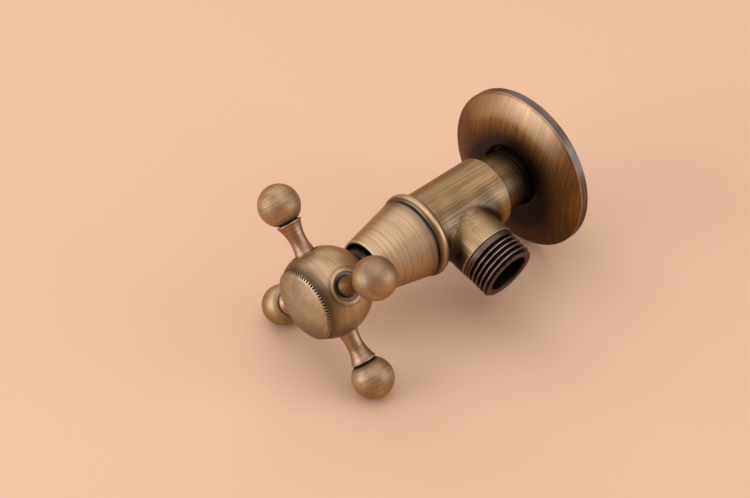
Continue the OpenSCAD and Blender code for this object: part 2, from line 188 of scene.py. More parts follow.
OUTLET = spoke_axis(OUTLET_SET, OUTLET_ANGLE)
ARMS = [spoke_axis(HUB_SET, FIRST_ARM + TURN * i / ARM_COUNT) for i in range(ARM_COUNT)]


def rounded(corners: Sequence[Corner], steps: int = 5) -> list[Stop]:
    """Rounds the corners of an open profile.

    Args:
        corners: its corners in order; the first and last stay sharp.
        steps: edges in each rounding.

    Returns:
        The stops of the rounded profile.
    """
    stops: list[Stop] = []
    last = len(corners) - 1
    for i, (r, t, fillet, patina_and_painted_light) in enumerate(corners):
        if fillet <= 0 or i in (0, last):
            stops.append((r, t, patina_and_painted_light))
            continue
        here = Vector((r, t))
        back = Vector(corners[i - 1][:2]) - here
        ahead = Vector(corners[i + 1][:2]) - here
        half = back.angle(ahead) / 2
        reach = min(fillet / tan(half), ROUNDING_SHARE * back.length, ROUNDING_SHARE * ahead.length)
        start, end = here + back.normalized() * reach, here + ahead.normalized() * reach
        centre = here + (back.normalized() + ahead.normalized()).normalized() * (reach / cos(half))
        for k in range(steps + 1):
            arm = swung(start - centre, end - centre, k / steps)
            stops.append((centre.x + arm.x, centre.y + arm.y, patina_and_painted_light))
    return stops


def arc(r: float, t: float, radius: float, start: float, end: float, steps: int) -> list[tuple[float, float]]:
    """Round part of a profile.

    Args:
        r: distance of its centre from the axis.
        t: distance of its centre along the axis.
        radius: its own radius.
        start: first angle in degrees, 0 away from the axis and 90 along it.
        end: last angle in degrees.
        steps: number of edges.

    Returns:
        Distances from the axis and along it, in order.
    """
    angles = [radians(mixed(start, end, i / steps)) for i in range(steps + 1)]
    return [(r + radius * cos(a), t + radius * sin(a)) for a in angles]


def window_walk(half: float, low: float, high: float, across: int, up: int) -> list[Step]:
    """Walks once round a rectangular window, from the middle of its upper edge.

    Args:
        half: half its width.
        low: its lower edge, below the middle and so negative.
        high: its upper edge.
        across: steps on each of the upper and lower edges.
        up: steps on each side.

    Returns:
        The steps, whose angles rise from 0 and are even along each edge.
    """
    top, bottom = atan2(half, high), atan2(half, low)
    spans = [
        (across // 2, 0.0, top, (0.0, high), (half, high)),
        (up, top, bottom, (half, high), (half, low)),
        (across, bottom, TURN - bottom, (half, low), (-half, low)),
        (up, TURN - bottom, TURN - top, (-half, low), (-half, high)),
        (across // 2, TURN - top, TURN, (-half, high), (0.0, high)),
    ]
    walk: list[Step] = []
    for count, a, b, start, end in spans:
        for i in range(count):
            share = i / count
            walk.append((mixed(a, b, share), mixed(start[0], end[0], share), mixed(start[1], end[1], share)))
    return walk


def woven(walk: Sequence[Step], rings: int, dot: Callable[[Step, float], Dot]) -> list[Row]:
    """Weaves rows of points between two edges.

    Args:
        walk: the steps round each row.
        rings: edges from the first row to the last.
        dot: the point at a step, for a share of the way from the first row to the last.

    Returns:
        The rows in order.
    """
    return [[dot(step, i / rings) for step in walk] for i in range(rings + 1)]


def linked(name: str, data: bpy.types.ID) -> Piece:
    """Puts an object in the scene.

    Args:
        name: the object's name.
        data: its mesh, lamp or camera.

    Returns:
        The object.
    """
    made = bpy.data.objects.new(name, data)
    bpy.context.scene.collection.objects.link(made)
    return made


class Skin:
    """A closed mesh sewn from patches, with a value of patina and painted light at each point."""

    def __init__(self) -> None:
        """Starts with no points."""
        self.mesh = bmesh.new()
        self.patina_and_painted_light = self.mesh.verts.layers.float.new("patina_and_painted_light")

    def patch(self, rows: Sequence[Row]) -> None:
        """Adds a band of faces.

        Args:
            rows: rings of points with their patina and painted light, each closed on itself and all of one
                length.
        """
        made = [[self.mesh.verts.new(point) for point, _ in row] for row in rows]
        for ring, row in zip(made, rows):
            for vert, (_, patina_and_painted_light) in zip(ring, row):
                vert[self.patina_and_painted_light] = patina_and_painted_light
        for lower, upper in zip(made, made[1:]):
            for i in range(len(lower)):
                self.mesh.faces.new((lower[i - 1], lower[i], upper[i], upper[i - 1]))

    def turn(self, axis: Axis, stops: Sequence[Stop], angles: Sequence[float]) -> None:
        """Adds a turned band.

        Args:
            axis: what it is turned about.
            stops: its profile.
            angles: the turns at which it has points.
        """
        self.patch([[(axis.place(r, a, t), patina_and_painted_light) for a in angles] for r, t, patina_and_painted_light in stops])

    def finish(self, name: str) -> Piece:
        """Welds the patches and makes the object.

        Args:
            name: the piece's name.

        Returns:
            The object, shaded smooth but for its sharp edges.
        """
        bmesh.ops.remove_doubles(self.mesh, verts=self.mesh.verts, dist=WELD)
        bmesh.ops.dissolve_degenerate(self.mesh, edges=self.mesh.edges, dist=WELD)
        bmesh.ops.recalc_face_normals(self.mesh, faces=self.mesh.faces)
        for face in self.mesh.faces:
            face.smooth = True
        for edge in self.mesh.edges:
            edge.smooth = len(edge.link_faces) == 2 and edge.calc_face_angle() < SHARP_EDGE
        data = bpy.data.meshes.new(name)
        self.mesh.to_mesh(data)
        self.mesh.free()
        piece = linked(name, data)
        even = piece.modifiers.new("even_shading", "WEIGHTED_NORMAL")
        even.keep_sharp = True
        return piece


def turns(count: int, start: float = 0.0) -> list[float]:
    """Even turns round an axis.

    Args:
        count: how many.
        start: the first one.

    Returns:
        The angles in radians.
    """
    return [start + TURN * i / count for i in range(count)]


def turned(name: str, axis: Axis, stops: Sequence[Stop], count: int = ROUND) -> Piece:
    """Makes a whole turned piece.

    Args:
        name: the piece's name.
        axis: what it is turned about.
        stops: its profile, which ends where it starts or has both ends on the axis.
        count: points round it.

    Returns:
        The object.
    """
    skin = Skin()
    skin.turn(axis, stops, turns(count))
    return skin.finish(name)


def add(tree: Tree, kind: str, inputs: dict | None = None, **settings: object) -> bpy.types.Node:
    """Adds a node with its settings and links.

    Args:
        tree: the node tree.
        kind: the node's type.
        inputs: what goes to each input, a socket to link or a value to set.
        settings: the node's own properties.

    Returns:
        The node.
    """
    node = tree.nodes.new(kind)
    for name, value in settings.items():
        setattr(node, name, value)
    for key, value in (inputs or {}).items():
        if isinstance(value, Socket):
            tree.links.new(value, node.inputs[key])
        else:
            node.inputs[key].default_value = value
    return node


def bare_material(name: str) -> bpy.types.Material:
    """Makes a material without nodes.

    Args:
        name: the material's name.

    Returns:
        The material, whose tree is empty.
    """
    made = bpy.data.materials.new(name)
    made.use_nodes = True
    made.node_tree.nodes.clear()
    return made


class Brush(Enum):
    """Which way the brush went over a piece."""

    ROUND_AXIS = "lines run round the axis"
    ROUND_BALL = "lines run round the axis, evenly spaced over a ball"
    ALONG_AXIS = "lines run along the axis"


@dataclass(frozen=True)
class BrushPatch:
    """A part of a piece where the brush went another way.

    Attributes:
        axis: the axis of that part.
        beyond_mm: where the part starts along the axis.
        lengthwise: whether the lines run along the axis, not round it.
        metal: colour where the metal shows there.
    """

    axis: Triple
    beyond_mm: float
    lengthwise: bool
    metal: str


@dataclass(frozen=True)
class AntiqueBrass:
    """Cast or turned brass, blackened, brushed through to the metal, and lacquered.

    The eye sees fine parallel brush lines, bright where the metal shows and brown where the blackening
    stayed, slow stains of tarnish, dark recesses with painted shade, bright worn edges with painted
    highlights, and a pale sheen from the lacquer.

    Attributes:
        name: the finish.
        metal: colour where the metal shows.
        stain: colour where the blackening stayed.
        brush: which way the lines run.
        axis: the axis that they run round or along, in the piece's own space.
        line_mm: width of a brush line, drawn coarser than the real 0.05 mm so that it shows.
        run_mm: how far a line runs.
        bite: how far the lines change the colour, from 0 to 1.
        ball_mm: radius of a ball.
        patches: parts brushed another way.
        stains: how far the slow stains of tarnish change the colour, as a share of the bite.
        stain_mm: size of a stain.
        roughness: of the metal between the lines.
        anisotropy: how far the lines draw out a highlight.
        metallic: below 1, as the oxide over the metal scatters some light.
    """

    name: str
    metal: str
    stain: str
    brush: Brush
    axis: Triple
    line_mm: float = 0.3
    run_mm: float = 14.0
    bite: float = 0.6
    ball_mm: float = 0.0
    patches: tuple[BrushPatch, ...] = ()
    stains: float = 0.3
    stain_mm: float = 9.0
    roughness: float = 0.4
    anisotropy: float = 0.5
    metallic: float = 0.95

    # Colours of the dark layer (patina in hollows and painted shade) and of the bright layer (wear and
    # painted highlights)
    RECESS_AND_SHADE = "#110a07"
    WEAR_AND_HIGHLIGHT = "#d2b991"
    EDGE = "#c69c72"
    # Width of the wide bands and of the scratches, in line widths
    BAND = 3.0
    SCRATCH = 1.6
    # Where each noise goes from dark to bright, and how far it darkens
    FINE = (0.4, 0.6, 0.7)
    BANDS = (0.35, 0.65, 0.18)
    STAIN_RANGE = (0.35, 0.65)
    SCRATCHES = (0.0, 0.06, 0.35)
    FINE_ROUGHNESS = 0.6
    # Near the pole of a ball the lines fade: range of the cosine, how far, and to what share of the bite
    POLE = (0.7, 0.98)
    FADE = 0.7
    FADED_BITE = 0.6
    # How far full patina and painted shade darken, and how far full wear and painted highlight brighten
    DARKEST = 0.97
    BRIGHTEST = 0.8
    # Roughness taken off the bright metal, and added to the dark
    SMOOTHER = 0.05
    ROUGHER = 0.14
    BUMP = 0.5
    BUMP_MM = 0.02
    LACQUER = 0.4
    LACQUER_ROUGHNESS = 0.3

    def lean(self, tree: Tree) -> Socket:
        """Cosine of the angle between the surface and the axis."""
        inputs = {0: add(tree, "ShaderNodeTexCoord").outputs["Normal"], 1: self.axis}
        return add(tree, "ShaderNodeVectorMath", inputs, operation="DOT_PRODUCT").outputs["Value"]

    def stretched(self, tree: Tree, place: Socket, axis: Triple, lengthwise: bool) -> Socket:
        """Stretches space so that a noise in it turns into brush lines.

        Args:
            tree: the material's nodes.
            place: a point of the piece.
            axis: the axis that the lines run round or along.
            lengthwise: whether they run along it.

        Returns:
            The stretched point, in line widths.
        """
        across, runs = 1 / (self.line_mm * MM), 1 / (self.run_mm * MM)
        along, square = (runs, across) if lengthwise else (across, runs)
        crossing = {0: place, 1: axis}
        level = add(tree, "ShaderNodeVectorMath", crossing, operation="DOT_PRODUCT").outputs["Value"]
        reach = level
        if self.brush is Brush.ROUND_BALL:
            turn = add(tree, "ShaderNodeMath", {0: self.lean(tree)}, operation="ARCCOSINE").outputs[0]
            bow = {0: turn, 1: self.ball_mm * MM}
            reach = add(tree, "ShaderNodeMath", bow, operation="MULTIPLY").outputs[0]
        less = add(tree, "ShaderNodeMath", {0: level, 1: -square}, operation="MULTIPLY").outputs[0]
        change = {0: reach, 1: along, 2: less}
        extra = add(tree, "ShaderNodeMath", change, operation="MULTIPLY_ADD").outputs[0]
        drawn = add(tree, "ShaderNodeVectorMath", {0: axis, "Scale": extra}, operation="SCALE").outputs[0]
        whole = {0: place, 1: (square,) * 3, 2: drawn}
        return add(tree, "ShaderNodeVectorMath", whole, operation="MULTIPLY_ADD").outputs[0]

    def darkness(self, tree: Tree, place: Socket, lines: Socket, fine: Socket) -> Socket:
        """Adds up the brush lines, wide bands, stains and scratches.

        Args:
            tree: the material's nodes.
            place: a point of the piece.
            lines: the same point, stretched.
            fine: the noise of the brush lines.

        Returns:
            How far the blackening stayed, from 0 up.
        """
        bands, stains, level = (
            add(tree, "ShaderNodeTexNoise", {"Vector": at, "Scale": 1 / size, "Detail": detail}).outputs[0]
            for at, size, detail in (
                (lines, self.BAND, 2.0),
                (place, self.stain_mm * MM, 2.0),
                (lines, self.SCRATCH, 0.0),
            )
        )
        middle = add(tree, "ShaderNodeMath", {0: level, 1: 0.5}, operation="SUBTRACT").outputs[0]
        scratches = add(tree, "ShaderNodeMath", {0: middle}, operation="ABSOLUTE").outputs[0]
        share = 0.0
        for found, low, high, weight in (
            (fine, *self.FINE),
            (bands, *self.BANDS),
            (stains, *self.STAIN_RANGE, self.stains),
            (scratches, *self.SCRATCHES),
        ):
            most = weight * self.bite
            span = {"Value": found, "From Min": low, "From Max": high, "To Min": most, "To Max": 0.0}
            dark = add(tree, "ShaderNodeMapRange", span).outputs[0]
            share = add(tree, "ShaderNodeMath", {0: dark, 1: share}, operation="ADD").outputs[0]
        if self.brush is Brush.ROUND_BALL:
            lean, (low, high) = self.lean(tree), self.POLE
            span = {"Value": lean, "From Min": low, "From Max": high, "To Min": 0.0, "To Max": self.FADE}
            calm = add(tree, "ShaderNodeMapRange", span).outputs[0]
            fading = {"Factor": calm, "A": share, "B": self.bite * self.FADED_BITE}
            share = add(tree, "ShaderNodeMix", fading).outputs["Result"]
        return share

    def layered(self, tree: Tree, metal: Socket, share: Socket) -> Socket:
        """Lays the colours over one another: metal, blackening, wear and painted highlights, and dark patina
        and painted shade.

        Args:
            tree: the material's nodes.
            metal: colour where the metal shows.
            share: how far the blackening stayed.

        Returns:
            The colour of the surface.
        """
        # The attribute holds real patina and wear, and painted shade and painted highlights
        patina_and_painted_light = add(tree, "ShaderNodeAttribute", attribute_name="patina_and_painted_light").outputs["Fac"]
        held = {"operation": "MULTIPLY", "use_clamp": True}
        brightening = add(tree, "ShaderNodeMath", {0: patina_and_painted_light, 1: -self.BRIGHTEST}, **held).outputs[0]
        dark = add(tree, "ShaderNodeMath", {0: patina_and_painted_light, 1: self.DARKEST}, **held).outputs[0]
        colour = metal
        for factor, over in ((share, self.stain), (brightening, self.WEAR_AND_HIGHLIGHT), (dark, self.RECESS_AND_SHADE)):
            layer = {"Factor": factor, "A": colour, "B": linear(over)}
            colour = add(tree, "ShaderNodeMix", layer, data_type="RGBA").outputs["Result"]
        return colour

    def tangent(self, tree: Tree) -> Socket:
        """Finds the direction of the brush lines, which draws out the highlights.

        Args:
            tree: the material's nodes.

        Returns:
            The direction, in the world's space.
        """
        facing = add(tree, "ShaderNodeNewGeometry").outputs["Normal"]
        spaces = {"vector_type": "VECTOR", "convert_from": "OBJECT", "convert_to": "WORLD"}
        turned_axis = add(tree, "ShaderNodeVectorTransform", {0: self.axis}, **spaces).outputs[0]
        pair = {0: turned_axis, 1: facing}
        round_it = add(tree, "ShaderNodeVectorMath", pair, operation="CROSS_PRODUCT").outputs[0]
        if self.brush is Brush.ALONG_AXIS:
            pair = {0: facing, 1: round_it}
            return add(tree, "ShaderNodeVectorMath", pair, operation="CROSS_PRODUCT").outputs[0]
        return round_it

    def material(self) -> bpy.types.Material:
        """Makes the material.

        Returns:
            A material with its nodes linked.
        """
        made = bare_material(self.name)
        tree = made.node_tree
        place = add(tree, "ShaderNodeTexCoord").outputs["Object"]
        lines = self.stretched(tree, place, self.axis, self.brush is Brush.ALONG_AXIS)
        metal = add(tree, "ShaderNodeRGB").outputs[0]
        metal.default_value = linear(self.metal)
        for patch in self.patches:
            reach = add(tree, "ShaderNodeVectorMath", {0: place, 1: patch.axis}, operation="DOT_PRODUCT")
            limit = {0: reach.outputs["Value"], 1: patch.beyond_mm * MM}
            inside = add(tree, "ShaderNodeMath", limit, operation="GREATER_THAN").outputs[0]
            other = self.stretched(tree, place, patch.axis, patch.lengthwise)
            either = {"Factor": inside, "A": lines, "B": other}
            lines = add(tree, "ShaderNodeMix", either, data_type="VECTOR").outputs["Result"]
            either = {"Factor": inside, "A": metal, "B": linear(patch.metal)}
            metal = add(tree, "ShaderNodeMix", either, data_type="RGBA").outputs["Result"]
        brushing = {"Vector": lines, "Scale": 1.0, "Detail": 2.0, "Roughness": self.FINE_ROUGHNESS}
        fine = add(tree, "ShaderNodeTexNoise", brushing).outputs[0]
        share = self.darkness(tree, place, lines, fine)
        smoothest, roughest = self.roughness - self.SMOOTHER, self.roughness + self.ROUGHER
        sheen = {"Value": share, "To Min": smoothest, "To Max": roughest}
        relief = {"Strength": self.BUMP, "Distance": self.BUMP_MM * MM, "Height": fine}
        shader = add(
            tree,
            "ShaderNodeBsdfPrincipled",
            {
                "Base Color": self.layered(tree, metal, share),
                "Metallic": self.metallic,
                "Roughness": add(tree, "ShaderNodeMapRange", sheen).outputs[0],
                "Anisotropic": self.anisotropy,
                "Tangent": self.tangent(tree),
                "Normal": add(tree, "ShaderNodeBump", relief).outputs[0],
                "Specular Tint": linear(self.EDGE),
                "Coat Weight": self.LACQUER,
                "Coat Roughness": self.LACQUER_ROUGHNESS,
            },
        )
        add(tree, "ShaderNodeOutputMaterial", {"Surface": shader.outputs[0]})
        return made


@dataclass(frozen=True)
class PlainFinish:
    """A finish of a piece inside the valve: one colour with a slow grain.

    Attributes:
        name: the material and how it was made.
        colour: its colour.
        second: the colour that it drifts to.
        metallic: 1 for a metal.
        roughness: of its surface.
        grain_mm: size of the grain.
    """

    name: str
    colour: str
    second: str
    metallic: float
    roughness: float
    grain_mm: float

    # Share by which the grain moves the roughness either way
    SPREAD = 0.2

    def material(self) -> bpy.types.Material:
        """Makes the material.

        Returns:
            A material with its nodes linked.
        """
        made = bare_material(self.name)
        tree = made.node_tree
        place = add(tree, "ShaderNodeTexCoord").outputs["Object"]
        speckle = {"Vector": place, "Scale": 1 / (self.grain_mm * MM), "Detail": 3.0}
        grain = add(tree, "ShaderNodeTexNoise", speckle).outputs[0]
        drift = {"Factor": grain, "A": linear(self.colour), "B": linear(self.second)}
        low, high = self.roughness * (1 - self.SPREAD), self.roughness * (1 + self.SPREAD)
        sheen = {"Value": grain, "To Min": low, "To Max": high}
        shader = add(
            tree,
            "ShaderNodeBsdfPrincipled",
            {
                "Base Color": add(tree, "ShaderNodeMix", drift, data_type="RGBA").outputs["Result"],
                "Metallic": self.metallic,
                "Roughness": add(tree, "ShaderNodeMapRange", sheen).outputs[0],
            },
        )
        add(tree, "ShaderNodeOutputMaterial", {"Surface": shader.outputs[0]})
        return made


MAIN_LINE = tuple(MAIN.along)
OUTLET_LINE = tuple(OUTLET.along)
STUB_LINE = tuple(-v for v in MAIN_LINE)
# Brushed lengthwise: fine lines along the body, but round the stub and the outlet thread
BODY_BRASS = AntiqueBrass(
    "antique_brass_brushed_lengthwise", "#b08e58", "#382e28", Brush.ALONG_AXIS, MAIN_LINE,
    run_mm=20, bite=0.64, line_mm=0.24,
    patches=(
        BrushPatch(STUB_LINE, -20, False, "#a07d48"),
        BrushPatch(OUTLET_LINE, 13, True, "#b39059"),
        BrushPatch(OUTLET_LINE, 19.2, False, "#b08a73"),
    ),
)
# Brushed straight up and down: a browner face with long upright lines; the rim band, brushed round,
# has a pale grey-lilac metal that is a painted reflection
FLANGE_BRASS = AntiqueBrass(
    "antique_brass_brushed_upright", "#93652b", "#302015", Brush.ROUND_AXIS, (1, 0, 0),
    run_mm=16, bite=0.65, patches=(BrushPatch(STUB_LINE, -3.05, False, "#a8917c"),),
)
# Brushed on the lathe: pale fine rings round the cone
SHROUD_BRASS = AntiqueBrass(
    "antique_brass_brushed_round_cone", "#ba986b", "#55453d", Brush.ROUND_AXIS, MAIN_LINE,
    run_mm=22, bite=0.46, line_mm=0.25,
)
# Satin: short soft lines, so the ball shines evenly
HUB_BRASS = AntiqueBrass(
    "antique_brass_satin_hub", "#b69569", "#55453d", Brush.ROUND_AXIS, MAIN_LINE,
    run_mm=12, bite=0.4,
)
# Satin and stained: hardly any lines, with cloudy tarnish
CAP_BRASS = AntiqueBrass(
    "antique_brass_satin_cap", "#b59f7b", "#594a3f", Brush.ROUND_AXIS, (1, 0, 0),
    run_mm=2, bite=0.34, metallic=0.85, stains=1.1, stain_mm=6,
)
# Cut and left bare: clean, yellow and half bright
RAW_BRASS = PlainFinish("brass_machined", "#c9a764", "#b39152", 1.0, 0.3, 2.0)
# Plated and polished: a cold mirror
CHROME_BALL = PlainFinish("chrome_plated_polished", "#d8d9db", "#c9cacc", 1.0, 0.08, 4.0)
# Moulded: white and waxy
PTFE = PlainFinish("ptfe_moulded", "#ece9e2", "#dedad0", 0.0, 0.45, 1.5)
# Moulded: black and dull
SEAL_RUBBER = PlainFinish("epdm_moulded", "#1c1c1c", "#262624", 0.0, 0.7, 0.8)
# Plated: pale grey, half bright
ZINC_STEEL = PlainFinish("zinc_plated_steel", "#b9bab6", "#a7a8a2", 1.0, 0.35, 1.2)


def arm_finish(axis: Axis, index: int) -> AntiqueBrass:
    """Finish of one arm, brushed round its own axis."""
    return AntiqueBrass(
        f"antique_brass_turned_arm_{index}", "#ae8964", "#423631", Brush.ROUND_AXIS, tuple(axis.along),
        bite=0.45,
    )


def knob_finish(axis: Axis, index: int, radius: float) -> AntiqueBrass:
    """Finish of one knob, brushed round the axis of its arm."""
    return AntiqueBrass(
        f"antique_brass_turned_knob_{index}", "#bc9868", "#50423a", Brush.ROUND_BALL, tuple(axis.along),
        bite=0.38, ball_mm=radius, stains=0.8, stain_mm=6, roughness=0.54, anisotropy=0.2,
    )


def settle(piece: Piece, finish: AntiqueBrass, node: str, body: str) -> None:
    """Gives a piece its finish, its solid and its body.

    Args:
        piece: the new piece, in place.
        finish: its finish.
        node: the solid that it stands for.
        body: what it moves with.
    """
    piece.data.materials.append(finish.material())
    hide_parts(node)
    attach(piece, body)
    LOG.info("%s stands for %s, %d faces", piece.name, node, len(piece.data.polygons))


@dataclass
class ValveBody:
    """The forging: inlet stub and thread, round body, and the outlet that leaves it sideways."""

    thread_r: float = 10.4775
    pitch: float = 1.814
    thread_depth: float = 1.16
    chamfer: float = 0.8
    tail: float = 10.0
    thread_end: float = 0.5
    stub_r: float = 10.2
    shoulder: float = 20.0
    shoulder_edge: float = 0.45
    body_r: float = 12.8
    seat: float = 51.0
    spigot_r: float = 12.0
    front: float = 57.0
    neck_r: float = 10.7
    neck_end: float = 19.1
    relief: float = 0.4
    outlet_end: float = 29.8
    outlet_bore_r: float = 7.45
    inlet_bore_r: float = 5.5
    pocket_r: float = 6.45
    pocket_end: float = 9.6
    cavity_r: float = 9.3
    cavity_floor: float = 30.55
    bonnet_r: float = 10.0
    bonnet_floor: float = 49.5
    blend_near: float = 2.1
    blend_far: float = 3.2
    blend_top: float = 1.6
    land: float = 1.5

    BLEND_STEPS = 9
    NECK_RINGS = 5
    WINDOW_RINGS = 16
    # Power that crowds the rings of the body towards the neck
    CROWDING = 1.25
    ROWS_PER_PITCH = 14
    OUTLET_PHASE = 0.35
    # Half width of a thread's valley at its floor and mouth, and the length of its run-out, in pitches
    VALLEY_FLOOR = 0.04
    VALLEY_MOUTH = 0.44
    RUN_OUT = 0.6
    CREST_PATINA = -0.25
    LAND_PATINA = 0.7
    # Plain length before the outlet's thread, depth of its relief, and width of the edges at neck and mouth
    LEAD = 0.4
    RELIEF_DEPTH = 0.45
    NECK_EDGE = 0.35
    MOUTH_EDGE = 0.4
    # Lines left on the stub by the lathe: how dark, radians for each millimetre, and phase
    LATHE_LINES = ((0.2, 5.3, 0.0), (0.16, 8.9, 1.0))
    STUB_LINES = 110
    STUB_START = 4.0
    STUB_STOP = 0.6
    # Distances from the wall between which the painted shade on the stub fades away from the flange, and its
    # darkness there
    STUB_FADE = (9.0, 17.5)
    STUB_PAINTED_SHADE = (1.0, 0.35)
    # Depths at which the bores of the outlet and the inlet are painted dark as shade, and the slope behind
    # the inlet's thread
    OUTLET_SHADE = 1.2
    INLET_SHADE = 2.0
    THREAD_SLOPE = 0.1
    # Depth at which a thread's flank is dark, and distances before the end of the cut where the land starts
    FLANK_DEPTH = 0.05
    LAND_FADE = (1.0, 0.5)
    # Sides of the outlet with painted shade and with a wider fillet, and the cosines from their middles where
    # that rises
    POCKET_SIDE = radians(15)
    CRESCENT_SIDE = radians(-140)
    TOP_SIDE = radians(-75)
    TOP_RANGE = (0.0, 0.9)
    HAZE_RANGE = (-0.2, 0.6)
    CRESCENT_RANGE = (0.65, 0.97)
    # The same for the painted shade of the pocket, where each end of the range moves on the way along the
    # neck
    POCKET_LOW = (0.2, 0.5)
    POCKET_HIGH = (0.85, 1.0)
    HAZE = 0.35
    CRESCENT = 0.9
    # Shares of the way out from the neck at which the shades on the body end, and how dark the near one is
    NEAR_END = 0.35
    NEAR = 0.7
    POCKET_ENDS = (0.3, 0.7)
    # Painted shade of the fillet at its sides and middle and of the neck, and the painted highlight on the
    # neck
    FILLET_SHARE = (0.7, 1.0)
    NECK_FADE = 0.8
    NECK_SHARE = 0.8
    NECK_HIGHLIGHT = 0.2

    def blend(self, angle: float) -> float:
        """Radius of the forged fillet, smaller on the side of the shroud and wider on top."""
        top = self.blend_top * smooth(*self.TOP_RANGE, cos(angle - self.TOP_SIDE))
        return mixed(self.blend_near, self.blend_far, (1 - cos(angle)) / 2) + top

    def mouth_r(self) -> float:
        """Radius of a thread's free end, inside its chamfer."""
        return self.thread_r - self.chamfer

    def thread_r_at(self, from_end: float, turn: float, length: float) -> float:
        """Radius of a pipe thread.

        Args:
            from_end: distance from its free end.
            turn: share of a turn round its axis, plus its phase.
            length: cut length, after which the groove runs out.

        Returns:
            The radius at that place.
        """
        phase = (from_end / self.pitch + turn) % 1.0
        valley = 1 - smooth(self.VALLEY_FLOOR, self.VALLEY_MOUTH, abs(phase - 0.5))
        out = 1 - smooth(length - self.pitch * self.RUN_OUT, length, from_end)
        return min(self.thread_r - self.thread_depth * valley * out, self.mouth_r() + from_end)

    def crest_at(self, from_end: float, cut: float) -> float:
        """Patina on the crests: worn where the thread is cut, dark on the plain land."""
        low, high = (cut - before for before in self.LAND_FADE)
        return mixed(self.CREST_PATINA, self.LAND_PATINA, smooth(low, high, from_end))

    def pocket_shade(self, angle: float, out: float = 0.0) -> float:
        """Share of the painted shade in the pocket that the neck, the body and the shroud close off, narrower
        further out.
        """
        lean = cos(angle - self.POCKET_SIDE)
        return smooth(mixed(*self.POCKET_LOW, out), mixed(*self.POCKET_HIGH, out), lean)

    def haze(self, angle: float) -> float:
        """Thin painted shade over the wide part of the fillet."""
        return self.HAZE * smooth(*self.HAZE_RANGE, cos(angle - self.TOP_SIDE))

    def valley_shade(self, angle: float) -> float:
        """Painted shade in the valley round the neck: a crescent of painted shadow by the shoulder, the
        pocket, and the haze.
        """
        crescent = self.CRESCENT * smooth(*self.CRESCENT_RANGE, cos(angle - self.CRESCENT_SIDE))
        return max(crescent, self.pocket_shade(angle), self.haze(angle))

    def shade_patina(self, angle: float, share: float) -> float:
        """Painted shade on the body near the neck: black in the pocket below it that the shroud closes off.
        """
        near = self.valley_shade(angle) * (1 - smooth(0.0, self.NEAR_END, share))
        return max(self.NEAR * near, self.pocket_shade(angle) * (1 - smooth(*self.POCKET_ENDS, share)))

    def stub_lines(self) -> list[Corner]:
        """Draws the uneven lines left by the lathe, over painted shade that darkens towards the flange.

        Returns:
            Corners along the stub.
        """
        corners = []
        for i in range(self.STUB_LINES + 1):
            along = mixed(self.STUB_START, self.shoulder - self.STUB_STOP, i / self.STUB_LINES)
            depth = mixed(*self.STUB_PAINTED_SHADE, smooth(*self.STUB_FADE, along))
            line = sum(dark * cos(rate * along + phase) for dark, rate, phase in self.LATHE_LINES)
            corners.append((self.stub_r, along, 0.0, depth + line))
        return corners

    def thread_rows(
        self, axis: Axis, angles: Sequence[float], start: float, end: float, cut: float, phase: float
    ) -> list[Row]:
        """Rows of a threaded end.

        Args:
            axis: the thread's axis.
            angles: where each row has points.
            start: distance along the axis where the rows start.
            end: the free end, on either side of start.
            cut: length of the thread that is cut.
            phase: share of a turn that the thread is turned by.

        Returns:
            Rows of points with their patina.
        """
        length = abs(end - start)
        count = ceil(length / self.pitch * self.ROWS_PER_PITCH)
        rows = []
        for i in range(count + 1):
            along = mixed(start, end, i / count)
            from_end = abs(end - along)
            row = []
            for a in angles:
                r = self.thread_r_at(from_end, a / TURN + phase, cut)
                depth = (self.thread_r - r) / self.thread_depth
                patina_and_painted_light = mixed(self.crest_at(from_end, cut), 1.0, smooth(0.0, self.FLANK_DEPTH, depth))
                row.append((axis.place(r, a, along), patina_and_painted_light))
            rows.append(row)
        return rows

    def blend_height(self, trunk_r: float, branch_r: float, fillet: float, angle: float) -> float:
        """Height above the main axis at which a fillet leaves the branch.

        Args:
            trunk_r: radius of the trunk.
            branch_r: radius of the branch.
            fillet: radius of the fillet.
            angle: place round the branch.

        Returns:
            The height, along the outlet.
        """
        side = (branch_r + fillet) * sin(angle)
        return sqrt((trunk_r + fillet) ** 2 - side**2)

    def tee_rows(
        self, trunk_r: float, branch_r: float, walk: Sequence[Step], blend: Callable[[float], float]
    ) -> list[Row]:
        """Rows of the part of the trunk round the branch.

        Args:
            trunk_r: radius of the trunk.
            branch_r: radius of the branch.
            walk: the steps round that part, unrolled.
            blend: fillet radius at an angle round the branch.

        Returns:
            Rows of points with their painted shade.
        """

        def dot(step: Step, share: float) -> Dot:
            """Finds a point between the fillet and the edge of that part.

            Args:
                step: a step of the walk.
                share: how far out it is, from 0 to 1.

            Returns:
                The point with its painted shade.
            """
            angle, across, up = step
            fillet = blend(angle)
            height = self.blend_height(trunk_r, branch_r, fillet, angle)
            side = atan2((branch_r + fillet) * sin(angle), height)
            rise = (branch_r + fillet) * cos(angle)
            out = share**self.CROWDING
            # Painted shade near the neck; inside the ball's room, painted dark throughout
            patina_and_painted_light = self.shade_patina(angle, out) if fillet else 1.0
            turn = OUTLET_ANGLE - mixed(side, across / trunk_r, out)
            return MAIN.place(trunk_r, turn, OUTLET_SET + mixed(rise, up, out)), patina_and_painted_light

        return woven(walk, self.WINDOW_RINGS, dot)

    def fillet_rows(self, walk: Sequence[Step]) -> list[Row]:
        """Rows of the forged fillet, from the trunk to the neck.

        Args:
            walk: the steps round the outlet.

        Returns:
            Rows of points with their painted shade.
        """

